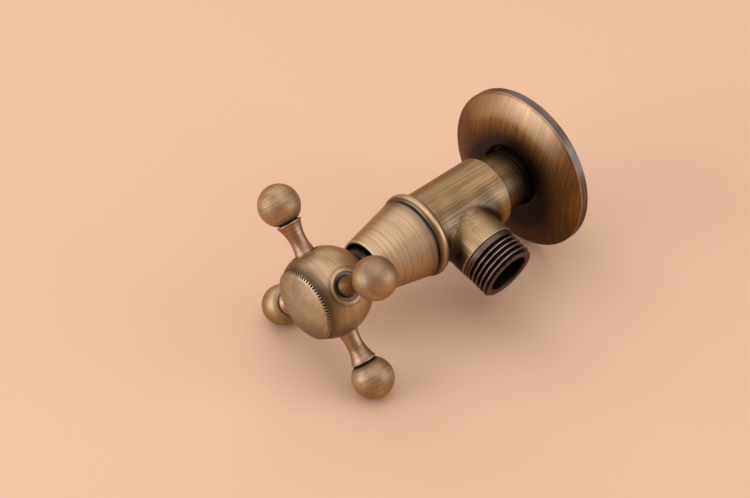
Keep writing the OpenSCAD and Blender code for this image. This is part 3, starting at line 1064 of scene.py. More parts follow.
        def dot(step: Step, share: float) -> Dot:
            """Finds a point of the fillet's round.

            Args:
                step: a step of the walk.
                share: how far it is from the trunk to the neck.

            Returns:
                The point with its painted shade.
            """
            angle = step[0]
            fillet = self.blend(angle)
            height = self.blend_height(self.body_r, self.neck_r, fillet, angle)
            reach = self.neck_r + fillet
            centre = Vector((reach * cos(angle), reach * sin(angle), height))
            keep = self.body_r / (self.body_r + fillet)
            on_body = Vector((centre.x, centre.y * keep, height * keep)) - centre
            on_neck = Vector((self.neck_r * cos(angle), self.neck_r * sin(angle), height)) - centre
            x, y, z = centre + swung(on_body, on_neck, share)
            point = (OUTLET.origin + OUTLET.first * x + OUTLET.second() * y + OUTLET.along * z) * MM
            # Painted shade in the valley and the pocket
            valley = self.valley_shade(angle) * mixed(*self.FILLET_SHARE, sin(pi * share))
            return point, max(valley, self.pocket_shade(angle))

        return woven(walk, self.BLEND_STEPS, dot)

    def neck_rows(self, walk: Sequence[Step], stop: float) -> list[Row]:
        """Rows of the plain neck.

        Args:
            walk: the steps round the outlet.
            stop: where the neck ends, along the outlet.

        Returns:
            Rows of points with their painted shade and painted highlight.
        """

        def dot(step: Step, share: float) -> Dot:
            """Finds a point between the fillet and the end of the neck.

            Args:
                step: a step of the walk.
                share: how far along the neck it is.

            Returns:
                The point with its painted shade and painted highlight.
            """
            angle = step[0]
            height = self.blend_height(self.body_r, self.neck_r, self.blend(angle), angle)
            fade = self.valley_shade(angle) * (1 - smooth(0.0, self.NECK_FADE, share))
            hidden = self.pocket_shade(angle, share)
            # Painted shade from the valley and the pocket; elsewhere a painted highlight brightens the neck
            patina_and_painted_light = max(self.NECK_SHARE * fade, hidden) - self.NECK_HIGHLIGHT * (1 - hidden)
            return OUTLET.place(self.neck_r, angle, mixed(height, stop, share)), patina_and_painted_light

        return woven(walk, self.NECK_RINGS, dot)

    def sew_outlet(self, skin: Skin, walk: Sequence[Step]) -> None:
        """Sews the neck, the outlet's thread and its mouth.

        Args:
            skin: what they are sewn to.
            walk: the steps round the outlet.
        """
        angles = [angle for angle, _, _ in walk]
        neck_stop = self.neck_end - self.NECK_EDGE
        skin.patch(self.neck_rows(walk, neck_stop))
        land_start = self.neck_end + self.relief
        thread_start = land_start + self.LEAD
        valley = self.thread_r - self.RELIEF_DEPTH
        relief = [
            (self.neck_r, neck_stop, 0, -0.2),
            (self.neck_r, self.neck_end, 0.2, -0.7),
            (valley, self.neck_end, 0.1, 0.9),
            (valley, land_start, 0.1, 0.9),
            (self.thread_r, land_start, 0.12, 0.4),
            (self.thread_r, thread_start, 0, 0.7),
        ]
        skin.turn(OUTLET, rounded(relief, 4), angles)
        cut = self.outlet_end - land_start - self.land + self.LEAD
        skin.patch(self.thread_rows(OUTLET, angles, thread_start, self.outlet_end, cut, self.OUTLET_PHASE))
        mouth = [
            (self.mouth_r(), self.outlet_end, 0, -0.4),
            (self.mouth_r() - self.MOUTH_EDGE, self.outlet_end, 0, 0.65),
            (self.outlet_bore_r, self.outlet_end, 0.3, 0.7),
            (self.outlet_bore_r, self.outlet_end - self.OUTLET_SHADE, 0, 0.9),
            (self.outlet_bore_r, self.pocket_end, 0, 1.0),
            (self.pocket_r, self.pocket_end, 0, 1.0),
        ]
        skin.turn(OUTLET, rounded(mouth), angles)

    def sew_room(self, skin: Skin, angles: Sequence[float]) -> None:
        """Sews the ball's room and the pocket of the outlet's seat.

        Args:
            skin: what they are sewn to.
            angles: the turns at which the outlet has points.
        """
        # The ball's room and the pocket are painted fully dark, as shade inside the forging
        low, high = self.cavity_floor - OUTLET_SET, self.bonnet_floor - OUTLET_SET
        room = window_walk(pi * self.cavity_r, low, high, ROUND, SIDE)
        room = [(a, across, up) for a, (_, across, up) in zip(angles, room)]
        skin.patch(self.tee_rows(self.cavity_r, self.pocket_r, room, lambda _: 0.0))
        ends = [(self.pocket_end, self.blend_height(self.cavity_r, self.pocket_r, 0.0, a)) for a in angles]
        skin.patch(
            [[(OUTLET.place(self.pocket_r, a, end[i]), 1.0) for a, end in zip(angles, ends)] for i in (0, 1)]
        )

    def sew_stub(self, skin: Skin, start: float) -> None:
        """Sews the inlet with its thread, the stub, and the front that takes the bonnet and the shroud.

        Args:
            skin: what they are sewn to.
            start: where the round of the shoulder's edge ends.
        """
        rings = turns(ROUND, OUTLET_ANGLE)
        end, seat_back = -self.tail, OUTLET_SET - self.pocket_end
        inlet = [
            (self.cavity_r, self.cavity_floor, 0, 1.0),
            (self.pocket_r, self.cavity_floor, 0, 1.0),
            (self.pocket_r, seat_back, 0, 1.0),
            (self.inlet_bore_r, seat_back, 0, 1.0),
            (self.inlet_bore_r, end + self.INLET_SHADE, 0, 0.9),
            (self.inlet_bore_r, end, 0.25, 0.7),
            (self.mouth_r() - self.MOUTH_EDGE, end, 0, 0.65),
            (self.mouth_r(), end, 0, -0.4),
        ]
        skin.turn(MAIN, rounded(inlet), rings)
        skin.patch(self.thread_rows(MAIN, rings, self.thread_end, end, self.tail, 0.0)[::-1])
        stub = [
            (self.thread_r, self.thread_end, 0, 0.2),
            (self.stub_r, self.thread_end + self.THREAD_SLOPE, 0.05, 0.5),
            *self.stub_lines(),
            (self.stub_r, self.shoulder, 0.25, 0.95),
            (self.body_r, self.shoulder, self.shoulder_edge, -0.45),
            (self.body_r, start, 0, 0.0),
        ]
        skin.turn(MAIN, rounded(stub), rings)
        front = [
            (self.body_r, self.seat, 0.0),
            (self.spigot_r, self.seat, 0.6),
            (self.spigot_r, self.front, 0.6),
            (self.bonnet_r, self.front, 0.6),
            (self.bonnet_r, self.bonnet_floor, 0.6),
            (self.cavity_r, self.bonnet_floor, 0.6),
        ]
        skin.turn(MAIN, front, rings)

    def skin(self) -> Piece:
        """Sews the forging.

        Returns:
            The closed piece, with its waterway and the room for the ball.
        """
        skin = Skin()
        start = self.shoulder + self.shoulder_edge
        walk = window_walk(pi * self.body_r, start - OUTLET_SET, self.seat - OUTLET_SET, ROUND, SIDE)
        skin.patch(self.tee_rows(self.body_r, self.neck_r, walk, self.blend))
        skin.patch(self.fillet_rows(walk))
        self.sew_outlet(skin, walk)
        self.sew_room(skin, [angle for angle, _, _ in walk])
        self.sew_stub(skin, start)
        return skin.finish("forged_body")

    def make(self) -> None:
        """Builds and dresses the forging."""
        settle(self.skin(), BODY_BRASS, "valve_body", "body")


@dataclass
class WallFlange:
    """The loose pressed flange: domed, open towards the wall, with a collar turned in round its hole."""

    outer_r: float = 29.7
    rim: float = 3.2
    dome: float = 4.3
    curve: float = 2.3
    wall: float = 1.5
    hole_r: float = 11.5
    grip_r: float = 10.75
    collar: float = 6.95
    funnel: float = 0.75
    lift: float = 0.5
    edge: float = 0.25

    DOME_STEPS = 32
    # Share of a bevelled edge at which its middle lies
    BEVEL = 0.3
    # Distances from the axis between which painted shade darkens the face towards the hole,
    # and a painted highlight brightens it towards the rim
    SHADE = (25, 12.5)
    HIGHLIGHT_REACH = (15, 24)
    DARKEN = 0.55
    BRIGHTEN = 0.4
    # Sides of the face with the painted highlight and with the painted shade,
    # and the cosines from their middles between which each rises
    HIGHLIGHT_SIDE = radians(100)
    SHADED_SIDE = radians(260)
    HIGHLIGHT_RANGE = (0.4, 0.95)
    SHADED_RANGE = (-0.5, 0.6)

    def height(self, r: float) -> float:
        """Height of the dome above the wall at a distance from its middle."""
        share = max(0.0, r - self.hole_r) / (self.outer_r - self.hole_r)
        return self.rim + self.dome * (1 - share**self.curve)

    def stops(self) -> list[Stop]:
        """Profile of the pressing.

        Returns:
            The stops from the back of the rim round to it again.
        """
        inner_r, collar_r = self.outer_r - self.wall, self.hole_r + self.wall
        top, foot = self.rim + self.dome, self.rim + self.dome - self.collar
        bevel = self.BEVEL * self.edge
        face: list[Stop] = []
        back: list[Stop] = []
        for i in range(self.DOME_STEPS + 1):
            r = mixed(self.outer_r - self.edge, self.hole_r + self.edge, i / self.DOME_STEPS)
            # Painted shade darkens the face towards the hole
            face.append((r, self.height(r), smooth(*self.SHADE, r)))
            r = mixed(collar_r, inner_r, i / self.DOME_STEPS)
            back.append((r, self.height(r) - self.wall, 0.6))
        return [
            (inner_r, self.edge, 0.3),
            (inner_r + self.edge, 0.0, 0.2),
            (self.outer_r - self.edge, 0.0, 0.2),
            (self.outer_r, self.edge, 0.5),
            (self.outer_r, self.rim - self.edge, 0.5),
            (self.outer_r - bevel, self.rim - bevel, -0.8),
            *face,
            # The hole, its collar and the inside of the dome are painted dark as shade
            (self.hole_r + bevel, top - bevel, 0.8),
            (self.hole_r, top - self.edge, 1.0),
            (self.grip_r, top - self.funnel, 1.0),
            (self.grip_r, foot, 1.0),
            (self.grip_r + self.wall, foot, 0.8),
            *back,
            (inner_r, self.edge, 0.3),
        ]

    def painted_light(self, angle: float, r: float) -> float:
        """Painted light round the face: a painted highlight near the rim on one side, painted shade on the
        other.

        Args:
            angle: place round the face.
            r: distance from its middle.

        Returns:
            What it adds to the patina and painted light there.
        """
        brightening = smooth(*self.HIGHLIGHT_RANGE, cos(angle - self.HIGHLIGHT_SIDE)) * smooth(*self.HIGHLIGHT_REACH, r)
        dark = smooth(*self.SHADED_RANGE, cos(angle - self.SHADED_SIDE))
        return self.DARKEN * dark - (self.BRIGHTEN * brightening if r < self.outer_r - self.edge else 0.0)

    def make(self) -> None:
        """Presses and dresses the flange."""
        axis = Axis(Vector((0, 0, self.lift)), MAIN.along, MAIN.first)
        skin = Skin()
        angles = turns(2 * ROUND)
        rows = []
        for r, t, patina_and_painted_light in self.stops():
            rows.append([(axis.place(r, a, t), patina_and_painted_light + self.painted_light(a, r)) for a in angles])
        skin.patch(rows)
        settle(skin.finish("pressed_flange"), FLANGE_BRASS, "wall_flange", "flange")


@dataclass
class BellShroud:
    """The cone that hides the stem: a rolled bead that laps the body, a groove, and a thin lip."""

    seat: float = 51.0
    overlap: float = 0.5
    overlap_r: float = 12.85
    bore_r: float = 12.05
    bore_end: float = 57.3
    bead_r: float = 2.25
    bead_out: float = 15.1
    bead_flat: float = 0.15
    groove_w: float = 0.7
    groove_r: float = 13.55
    cone_r: float = 14.05
    lip: float = 76.1
    lip_out: float = 9.75
    lip_wall: float = 0.9

    BEAD_STEPS = 20
    CONE_STEPS = 24
    # Share of the cone that is shaded by the bead, and how dark
    SHADE = 0.22
    SHADE_PATINA = 0.55
    # Heights on the bead between which painted shade darkens it towards the groove, how far, and how much
    # brighter it is before that
    BEAD_RANGE = (0.1, 0.95)
    BEAD_PAINTED_SHADE = 1.1
    BEAD_BRIGHTENING = 0.25
    GROOVE_STEP = 0.1
    # Shares of the cone and of the bore that the edges at their ends take
    CONE_EDGE = 0.02
    LIP_EDGE = 0.1

    def make(self) -> None:
        """Spins and dresses the shroud."""
        middle_r = self.bead_out - self.bead_r
        foot = self.seat - self.overlap
        middle = foot + self.bead_r - self.bead_flat
        groove = middle + self.bead_r
        cone = groove + self.groove_w
        first = degrees(asin((foot - middle) / self.bead_r))
        last = degrees(acos((self.groove_r - middle_r) / self.bead_r))
        # Painted shade darkens the bead towards the groove
        bead = [
            (r, t, self.BEAD_PAINTED_SHADE * smooth(*self.BEAD_RANGE, (t - middle) / self.bead_r) - self.BEAD_BRIGHTENING)
            for r, t in arc(middle_r, middle, self.bead_r, first, last, self.BEAD_STEPS)
        ]

        def on_cone(share: float) -> tuple[float, float]:
            """Distances from the axis and along it, for a share of the cone's length."""
            return mixed(self.cone_r, self.lip_out, share), mixed(cone, self.lip, share)

        # The groove and the foot of the cone are painted dark as shade
        flank = rounded(
            [
                (self.groove_r, groove + self.GROOVE_STEP, 0, 1.0),
                (self.groove_r, cone, 0.12, 1.0),
                (self.cone_r, cone, 0.2, 0.75),
                (*on_cone(self.CONE_EDGE), 0, 0.6),
            ]
        )
        slope: list[Stop] = []
        for i in range(1, self.CONE_STEPS):
            share = i / self.CONE_STEPS
            shade = self.SHADE_PATINA * (1 - smooth(0.0, self.SHADE, share))
            slope.append((*on_cone(share), shade))
        lip_in = self.lip_out - self.lip_wall
        throat = mixed(lip_in, self.bore_r, self.LIP_EDGE), mixed(self.lip, self.bore_end, self.LIP_EDGE)
        # The inside of the lip and the bore are painted dark as shade in the mouth; the lip's outer edge is
        # worn bright
        lip = rounded(
            [
                (*slope[-1][:2], 0, 0.0),
                (self.lip_out, self.lip, 0.22, -0.7),
                (lip_in, self.lip, 0.18, 0.2),
                (*throat, 0, 1.0),
            ]
        )
        stops = [
            (self.bore_r, self.seat, 0.6),
            (self.overlap_r, self.seat, 0.6),
            (self.overlap_r, foot, 0.3),
            *bead,
            *flank,
            *slope,
            *lip[1:],
            (self.bore_r, self.bore_end, 1.0),
            (self.bore_r, self.seat, 0.6),
        ]
        settle(turned("spun_shroud", MAIN, stops), SHROUD_BRASS, "bell_shroud", "body")


@dataclass
class HandleHub:
    """The ball in the middle of the cross handle, with a flat front and a spot face for each arm."""

    hub_r: float = 15.1
    face: float = 9.1
    spot_r: float = 4.6
    spot_depth: float = 0.6
    recess_r: float = 8.0
    recess: float = 5.1
    neck_r: float = 7.65
    neck_end: float = 71.5
    neck_gap: float = 0.4
    bore_r: float = 4.55
    screw_r: float = 2.275
    web: float = 2.5
    stud_r: float = 2.5
    stud: float = 6.4

    WINDOW_RINGS = 14
    # Power that crowds the rings of the ball towards the arm
    CROWDING = 1.2
    REAR_STEPS = 8
    # Tilts, from the plane of the arms, where the windows end behind, and small steps beside front and neck
    REAR_TILT = radians(-46)
    FRONT_EDGE = 0.02
    NECK_EDGE = 0.05
    # Shares of the spot face's depth that its edge spreads over, outwards and inwards
    SPOT_OUT = 0.8
    SPOT_IN = 0.3
    # Depth of the painted shade in a band behind the front, in millimetres, and how dark it is
    FRONT_BAND = 4.8
    FRONT_PAINTED_SHADE = 0.75
    # Distances from an arm's axis: outer edge of the bright ring, and both edges of the dark line round it
    HALO_OUT = (5.5, 5.9)
    LINE_IN = (5.8, 6.1)
    LINE_OUT = (6.3, 6.9)
    # How dark the line is, how far the ring brightens, and the painted shade on the rear of the ball
    LINE_DARKENING = 0.45
    HALO_BRIGHTENING = 0.15
    REAR_PAINTED_SHADE = 0.7
    NECK_CHAMFER = 0.2

    def on_ball(self, tilt: float) -> tuple[float, float]:
        """Distances from the axis and along it, for a tilt from the plane of the arms."""
        return self.hub_r * cos(tilt), HUB_SET + self.hub_r * sin(tilt)

    def depth_at(self, r: float) -> float:
        """Distance of the ball's surface from the plane through its middle, at a distance from an axis."""
        return sqrt(self.hub_r**2 - r**2)

    def rings_and_shade_at(self, arm: Axis, point: Vector) -> float:
        """Painted shade in a band behind the front, and a bright ring and a dark line round the root of an
        arm.

        Args:
            arm: the axis of that arm.
            point: a point of the ball, in metres.

        Returns:
            The rings and painted shade there.
        """
        far = (point / MM - arm.origin).cross(arm.along).length
        halo = 1 - smooth(*self.HALO_OUT, far)
        line = smooth(*self.LINE_IN, far) * (1 - smooth(*self.LINE_OUT, far))
        behind = HUB_SET + self.face + point.y / MM
        band = 1 - smooth(0.0, self.FRONT_BAND, behind)
        return self.LINE_DARKENING * line - self.HALO_BRIGHTENING * halo + self.FRONT_PAINTED_SHADE * band

    def sew_window(self, skin: Skin, index: int, walk: Sequence[Step]) -> None:
        """Sews the part of the ball round one arm, with its spot face.

        Args:
            skin: what it is sewn to.
            index: which arm.
            walk: the steps round that part, as turns and tilts.
        """
        arm, heading = ARMS[index], FIRST_ARM + TURN * index / ARM_COUNT
        rim_r = self.spot_r + self.spot_depth * self.SPOT_OUT
        rim, spot_face = self.depth_at(rim_r), self.depth_at(self.spot_r) - self.spot_depth

        def dot(step: Step, share: float) -> Dot:
            """Finds a point between the spot face and the edge of that part.

            Args:
                step: a step of the walk.
                share: how far out it is, from 0 to 1.

            Returns:
                The point with its rings and painted shade.
            """
            angle, across, up = step
            side = atan2(rim_r * sin(angle), rim)
            rise = asin(rim_r * cos(angle) / self.hub_r)
            out = share**self.CROWDING
            r, along = self.on_ball(mixed(rise, up, out))
            point = MAIN.place(r, heading - mixed(side, across, out), along)
            return point, self.rings_and_shade_at(arm, point)

        skin.patch(woven(walk, self.WINDOW_RINGS, dot))
        # The spot face and the hole for the arm's stud are painted dark as shade
        spot = [
            (rim_r, rim, 0, 0.0),
            (self.spot_r, rim - self.spot_depth * self.SPOT_IN, 0.15, 0.35),
            (self.spot_r, spot_face, 0.1, 0.8),
            (self.stud_r, spot_face, 0, 1.0),
            (self.stud_r, spot_face - self.stud, 0, 1.0),
            (0.0, spot_face - self.stud, 0, 1.0),
        ]
        skin.turn(arm, rounded(spot), [angle for angle, _, _ in walk])

    def skin(self) -> Piece:
        """Sews the hub.

        Returns:
            The closed piece.
        """
        skin = Skin()
        high = asin(self.face / self.hub_r) - self.FRONT_EDGE
        walk = window_walk(pi / ARM_COUNT, self.REAR_TILT, high, ROUND // ARM_COUNT, SIDE)
        for index in range(ARM_COUNT):
            self.sew_window(skin, index, walk)
        rings = turns(ROUND, FIRST_ARM)
        front, floor = HUB_SET + self.face, HUB_SET + self.recess
        neck_top = HUB_SET - self.depth_at(self.neck_r) - self.neck_gap
        # The hollow under the cap, the neck and the rear of the ball are painted dark as shade in the
        # shroud's mouth
        inside = [
            (*self.on_ball(high), 0.6),
            (self.depth_at(self.face), front, 0.9),
            (self.recess_r, front, 0.8),
            (self.recess_r, floor, 0.8),
            (self.screw_r, floor, 0.8),
            (self.screw_r, floor - self.web, 0.8),
            (self.bore_r, floor - self.web, 0.8),
            (self.bore_r, self.neck_end, 0.8),
            (self.neck_r - self.NECK_CHAMFER, self.neck_end, 0.8),
            (self.neck_r, self.neck_end + self.NECK_CHAMFER, 0.8),
            (self.neck_r, neck_top, 1.0),
        ]
        skin.turn(MAIN, inside, rings)
        rear = [(self.neck_r, neck_top, 1.0)]
        first = self.NECK_EDGE - acos(self.neck_r / self.hub_r)
        for i in range(self.REAR_STEPS + 1):
            share = i / self.REAR_STEPS
            rear.append((*self.on_ball(mixed(first, self.REAR_TILT, share)), self.REAR_PAINTED_SHADE * (1 - share)))
        skin.turn(MAIN, rear, rings)
        return skin.finish("turned_hub")

    def make(self) -> None:
        """Builds and dresses the hub."""
        settle(self.skin(), HUB_BRASS, "handle_hub", "handle")


@dataclass
class HandleArm:
    """A waisted arm with a trumpet lip, turned with a stud at each end."""

    index: int
    root: float = 13.781
    stud_r: float = 2.45
    stud: float = 6.3
    waist_r: float = 2.8
    waist: float = 18.8
    sweep: float = 14.6
    lip_r: float = 4.4
    lip: float = 25.345
    collar_r: float = 3.4
    knob_face: float = 25.945
    knob_stud_r: float = 2.0
    knob_stud: float = 5.2

    POINTS = 72
    SWEEP_STEPS = 26
    # Length of the lip, and of its straight edge
    LIP = 0.55
    LIP_EDGE = 0.3
    # Distances from the main axis between which painted shade darkens the root, and how far
    ROOT = (15.2, 13.9)
    ROOT_PAINTED_SHADE = 0.85

    def make(self) -> None:
        """Turns and dresses the arm."""
        axis = ARMS[self.index]
        sweep: list[Stop] = []
        for i in range(self.SWEEP_STEPS + 1):
            along = mixed(self.root, self.lip - self.LIP, i / self.SWEEP_STEPS)
            r = self.waist_r + self.sweep - sqrt(self.sweep**2 - (along - self.waist) ** 2)
            sweep.append((min(r, self.lip_r), along, self.ROOT_PAINTED_SHADE * smooth(*self.ROOT, along)))
        # The collar under the knob and the studs are painted dark as shade
        lip = rounded(
            [
                (*sweep[-1][:2], 0, 0.0),
                (self.lip_r, self.lip - self.LIP_EDGE, 0.2, -0.5),
                (self.lip_r, self.lip, 0.18, -0.9),
                (self.collar_r, self.lip, 0.1, 1.0),
                (self.collar_r, self.knob_face, 0, 1.0),
            ]
        )
        stops = [
            (0.0, self.root - self.stud, 0.8),
            (self.stud_r, self.root - self.stud, 0.8),
            (self.stud_r, self.root, 1.0),
            *sweep,
            *lip[1:],
            (self.knob_stud_r, self.knob_face, 1.0),
            (self.knob_stud_r, self.knob_face + self.knob_stud, 1.0),
            (0.0, self.knob_face + self.knob_stud, 1.0),
        ]
        number = self.index + 1
        piece = turned(f"turned_arm_{number}", axis, stops, self.POINTS)
        settle(piece, arm_finish(axis, number), f"handle_arm_{number}", "handle")


@dataclass
class BallKnob:
    """A ball on the end of an arm, flat where it meets the arm."""

    index: int
    reach: float = 31.75
    radius: float = 7.05
    flat_r: float = 4.0
    hole_r: float = 2.05
    hole: float = 5.5
    painted_light: float = 0.0

    POINTS = 84
    BALL_STEPS = 44
    # Width and darkness of the painted dark line at the flat and of the painted shade beside it
    ROOT_SHADES = ((1.1, 0.9), (2.6, 0.3))
    # Radii of the dot at the pole, and how dark it is
    POLE_DOT = (0.5, 0.1)
    POLE_PATINA = 0.7
    # Heights on the knob between which the painted shade on top rises
    TOP = (0.4, 1.0)

    def painted_shade_at(self, axis: Axis, point: Vector) -> float:
        """Painted shade on the side of the knob that lay on top."""
        up = (point / MM - axis.origin - axis.along * self.reach).z / self.radius
        return self.painted_light * smooth(*self.TOP, up)

    def make(self) -> None:
        """Turns and dresses the knob."""
        axis = ARMS[self.index]
        start = -degrees(acos(self.flat_r / self.radius))
        face = self.reach - sqrt(self.radius**2 - self.flat_r**2)
        floor = face + self.hole
        angles = turns(self.POINTS)
        skin = Skin()
        skin.turn(axis, [(0.0, floor, 1.0), (self.hole_r, floor, 1.0), (self.hole_r, face, 1.0)], angles)
        rows = [[(axis.place(self.hole_r, a, face), 1.0) for a in angles]]
        for r, t in arc(0.0, self.reach, self.radius, start, 90.0, self.BALL_STEPS):
            root = max(dark * smooth(face + width, face, t) for width, dark in self.ROOT_SHADES)
            pole = self.POLE_PATINA * smooth(*self.POLE_DOT, r)
            ring = [axis.place(max(r, 0.0), a, t) for a in angles]
            rows.append([(point, max(root, pole, self.painted_shade_at(axis, point))) for point in ring])
        skin.patch(rows)
        number = self.index + 1
        piece = skin.finish(f"turned_knob_{number}")
        settle(piece, knob_finish(axis, number, self.radius), f"ball_knob_{number}", "handle")


@dataclass
class IndexCap:
    """The cap on the front of the hub: a low dome with teeth milled into its sloping edge."""

    outer_r: float = 12.4
    notches: int = 72
    notch: float = 0.8
    ledge: float = 0.15
    face: float = 101.6
    rim: float = 0.8
    dome: float = 2.0
    spigot_r: float = 7.95
    spigot: float = 2.6
    hollow_r: float = 5.95

    POINTS_PER_NOTCH = 10
    SLOPE_STEPS = 7
    DOME_STEPS = 24
    # Heights of a wave between which a tooth's flank falls, and the depth at which a notch is dark
    FLANK = (0.15, 0.95)
    DARK_DEPTH = 0.4
    TOOTH_PATINA = 0.2
    # Low side of the dome and its painted shade, and where its edge starts to wear, and how far
    LOW_SIDE = radians(-70)
    LOW_PAINTED_SHADE = 0.5
    EDGE = 0.96
    EDGE_WEAR = 0.15

    def head_r(self) -> float:
        """Radius of the dome, inside the milled edge."""
        return self.outer_r - self.notch - self.ledge

    def milled(self, share: float) -> Row:
        """One ring of the milled edge.

        Args:
            share: how far up the slope it is, from 0 at the hub to 1 at the dome.

        Returns:
            Its points with their patina.
        """
        slope_r = mixed(self.outer_r + self.ledge, self.head_r(), share)
        ring = []
        for i, a in enumerate(turns(self.notches * self.POINTS_PER_NOTCH)):
            wave = 0.5 - 0.5 * cos(TURN * i / self.POINTS_PER_NOTCH)
            r = min(slope_r, self.outer_r - self.notch * smooth(*self.FLANK, wave))
            sunk = smooth(0.0, self.DARK_DEPTH, slope_r - r)
            point = MAIN.place(r, a, self.face + self.rim * share)
            ring.append((point, mixed(self.TOOTH_PATINA, 1.0, sunk)))
        return ring

    def painted_light(self, angle: float, out: float) -> float:
        """Painted shade towards the low side of the dome."""
        return self.LOW_PAINTED_SHADE * smooth(0.0, 1.0, out * cos(angle - self.LOW_SIDE))

    def make(self) -> None:
        """Turns, mills and dresses the cap."""
        skin = Skin()
        angles = turns(self.notches * self.POINTS_PER_NOTCH)
        top, foot = self.face + self.rim, self.face - self.spigot
        # The hollow, the spigot and the cap's back face are painted dark as shade under the cap
        inside = [
            (0.0, top, 0.8),
            (self.hollow_r, top, 0.8),
            (self.hollow_r, foot, 0.8),
            (self.spigot_r, foot, 0.8),
            (self.spigot_r, self.face, 0.9),
        ]
        skin.turn(MAIN, inside, angles)
        slope = [self.milled(i / self.SLOPE_STEPS) for i in range(self.SLOPE_STEPS + 1)]
        skin.patch([[(MAIN.place(self.spigot_r, a, self.face), 0.9) for a in angles], *slope])
        dome = []
        for i in range(self.DOME_STEPS + 1):
            out = 1 - i / self.DOME_STEPS
            edge = self.EDGE_WEAR * smooth(self.EDGE, 1.0, out)
            r, along = self.head_r() * out, top + self.dome * (1 - out * out)
            dome.append([(MAIN.place(r, a, along), self.painted_light(a, out) - edge) for a in angles])
        skin.patch(dome)
        settle(skin.finish("milled_cap"), CAP_BRASS, "index_cap", "handle")


INNER_FINISHES = {
    PTFE: ("inlet_seat", "outlet_seat", "thrust_washer", "stem_packing"),
    RAW_BRASS: ("seat_retainer", "stem", "bonnet", "packing_nut"),
    CHROME_BALL: ("ball",),
    SEAL_RUBBER: ("stem_o_ring", "bonnet_seal"),
    ZINC_STEEL: ("lock_washer", "handle_screw"),
}


def dress_inner_pieces() -> None:
    """Gives the solids inside the valve their finishes."""
    for finish, nodes in INNER_FINISHES.items():
        made = finish.material()
        for node in nodes:
            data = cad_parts[node].data
            data.materials.clear()
            data.materials.append(made)
            LOG.info("%s keeps its solid in %s", node, finish.name)


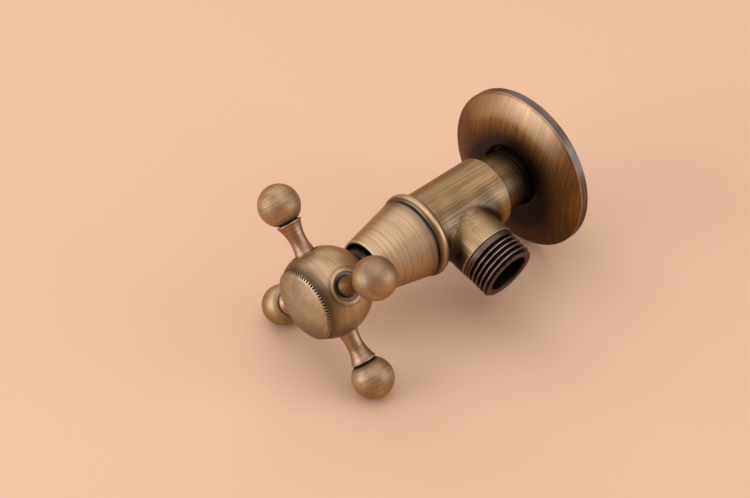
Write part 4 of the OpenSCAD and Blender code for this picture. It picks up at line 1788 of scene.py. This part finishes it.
@dataclass
class Studio:
    """Floor, light and camera."""

    azimuth: float = 46.264
    elevation: float = 43.322
    roll: float = 1.075
    shift_right: float = 52.012
    shift_up: float = 28.786
    distance: float = 579.641
    focal_pixels: float = 1658.5
    floor_colour: str = "#d3ad8a"

    SENSOR_MM = 36.0
    CLIP_M = (0.01, 20.0)
    FLOOR_M = 6.0
    FLOOR_ROUGHNESS = 0.9
    FLOOR_SPECULAR = 0.2
    # What the lamps face, in metres
    AIM = Vector((0, -0.05, 0))
    # Name, place and side in metres, watts and colour of each lamp
    LAMPS = (
        ("overhead_softbox", (0.05, 0.0, 1.15), 1.4, 12.4, "#e6ecff"),
        ("back_left_softbox", (-1.3, 1.3, 1.0), 1.4, 8.0, "#e6ecff"),
        ("left_softbox", (-1.35, -0.1, 1.15), 1.1, 7.7, "#e6ecff"),
        ("back_right_softbox", (1.15, 0.75, 0.55), 1.1, 11.8, "#d9e4ff"),
        ("front_softbox", (-0.4, -1.0, 0.28), 0.9, 12.2, "#e6ecff"),
    )
    SKY = "#ffdcb8"
    SKY_STRENGTH = 0.36

    def floor(self) -> None:
        """Lays a plain sheet of pale paper under the valve."""
        data = bpy.data.meshes.new("paper_floor")
        half, low = self.FLOOR_M / 2, CAD_BOX[0].z
        corners = [(-half, -half, low), (half, -half, low), (half, half, low), (-half, half, low)]
        data.from_pydata(corners, [], [(0, 1, 2, 3)])
        sheet = linked("paper_floor", data)
        made = bpy.data.materials.new("uncoated_paper")
        made.use_nodes = True
        shader = made.node_tree.nodes["Principled BSDF"]
        shader.inputs["Base Color"].default_value = linear(self.floor_colour)
        shader.inputs["Roughness"].default_value = self.FLOOR_ROUGHNESS
        shader.inputs["Specular IOR Level"].default_value = self.FLOOR_SPECULAR
        data.materials.append(made)

    def lamp(self, name: str, place: Triple, size: float, watts: float, colour: str) -> None:
        """Hangs a soft lamp that faces the valve.

        Args:
            name: the lamp's name.
            place: where it hangs, in metres.
            size: its side, in metres.
            watts: its power.
            colour: its colour.
        """
        data = bpy.data.lights.new(name, "AREA")
        data.shape = "SQUARE"
        data.size = size
        data.energy = watts
        data.color = linear(colour)[:3]
        lamp = linked(name, data)
        lamp.location = place
        lamp.rotation_mode = "QUATERNION"
        lamp.rotation_quaternion = (self.AIM - Vector(place)).to_track_quat("-Z", "Y")

    def light(self) -> None:
        """Sets the lamps and the sky."""
        for lamp in self.LAMPS:
            self.lamp(*lamp)
        world = bpy.data.worlds.new("studio_sky")
        world.use_nodes = True
        sky = world.node_tree.nodes["Background"]
        sky.inputs["Color"].default_value = linear(self.SKY)
        sky.inputs["Strength"].default_value = self.SKY_STRENGTH
        bpy.context.scene.world = world

    def camera(self) -> None:
        """Sets the camera where the photograph was taken from."""
        a, e, roll = (radians(x) for x in (self.azimuth, self.elevation, self.roll))
        back = Vector((sin(a) * cos(e), -cos(a) * cos(e), sin(e)))
        level = Vector((cos(a), sin(a), 0))
        upright = back.cross(level)
        right = level * cos(roll) + upright * sin(roll)
        up = upright * cos(roll) - level * sin(roll)
        eye = (back * self.distance - right * self.shift_right - up * self.shift_up) * MM
        data = bpy.data.cameras.new("studio_camera")
        data.sensor_width = self.SENSOR_MM
        data.lens = self.focal_pixels * self.SENSOR_MM / IMAGE_WIDTH
        data.clip_start, data.clip_end = self.CLIP_M
        made = linked("studio_camera", data)
        turn = Matrix((right, up, back)).transposed().to_4x4()
        made.matrix_world = Matrix.Translation(eye) @ turn
        bpy.context.scene.camera = made

    def make(self) -> None:
        """Sets the whole studio."""
        self.camera()
        self.floor()
        self.light()
        bpy.context.scene.view_settings.view_transform = "Standard"


def main() -> None:
    """Builds the studio and every piece in order."""
    logging.basicConfig(level=logging.INFO, format="%(name)s: %(message)s")
    Studio().make()
    ValveBody().make()
    WallFlange().make()
    BellShroud().make()
    HandleHub().make()
    for index in range(ARM_COUNT):
        HandleArm(index).make()
        BallKnob(index, painted_light=KNOB_PAINTED_SHADE[index]).make()
    IndexCap().make()
    dress_inner_pieces()


if __name__ == "__main__":
    main()
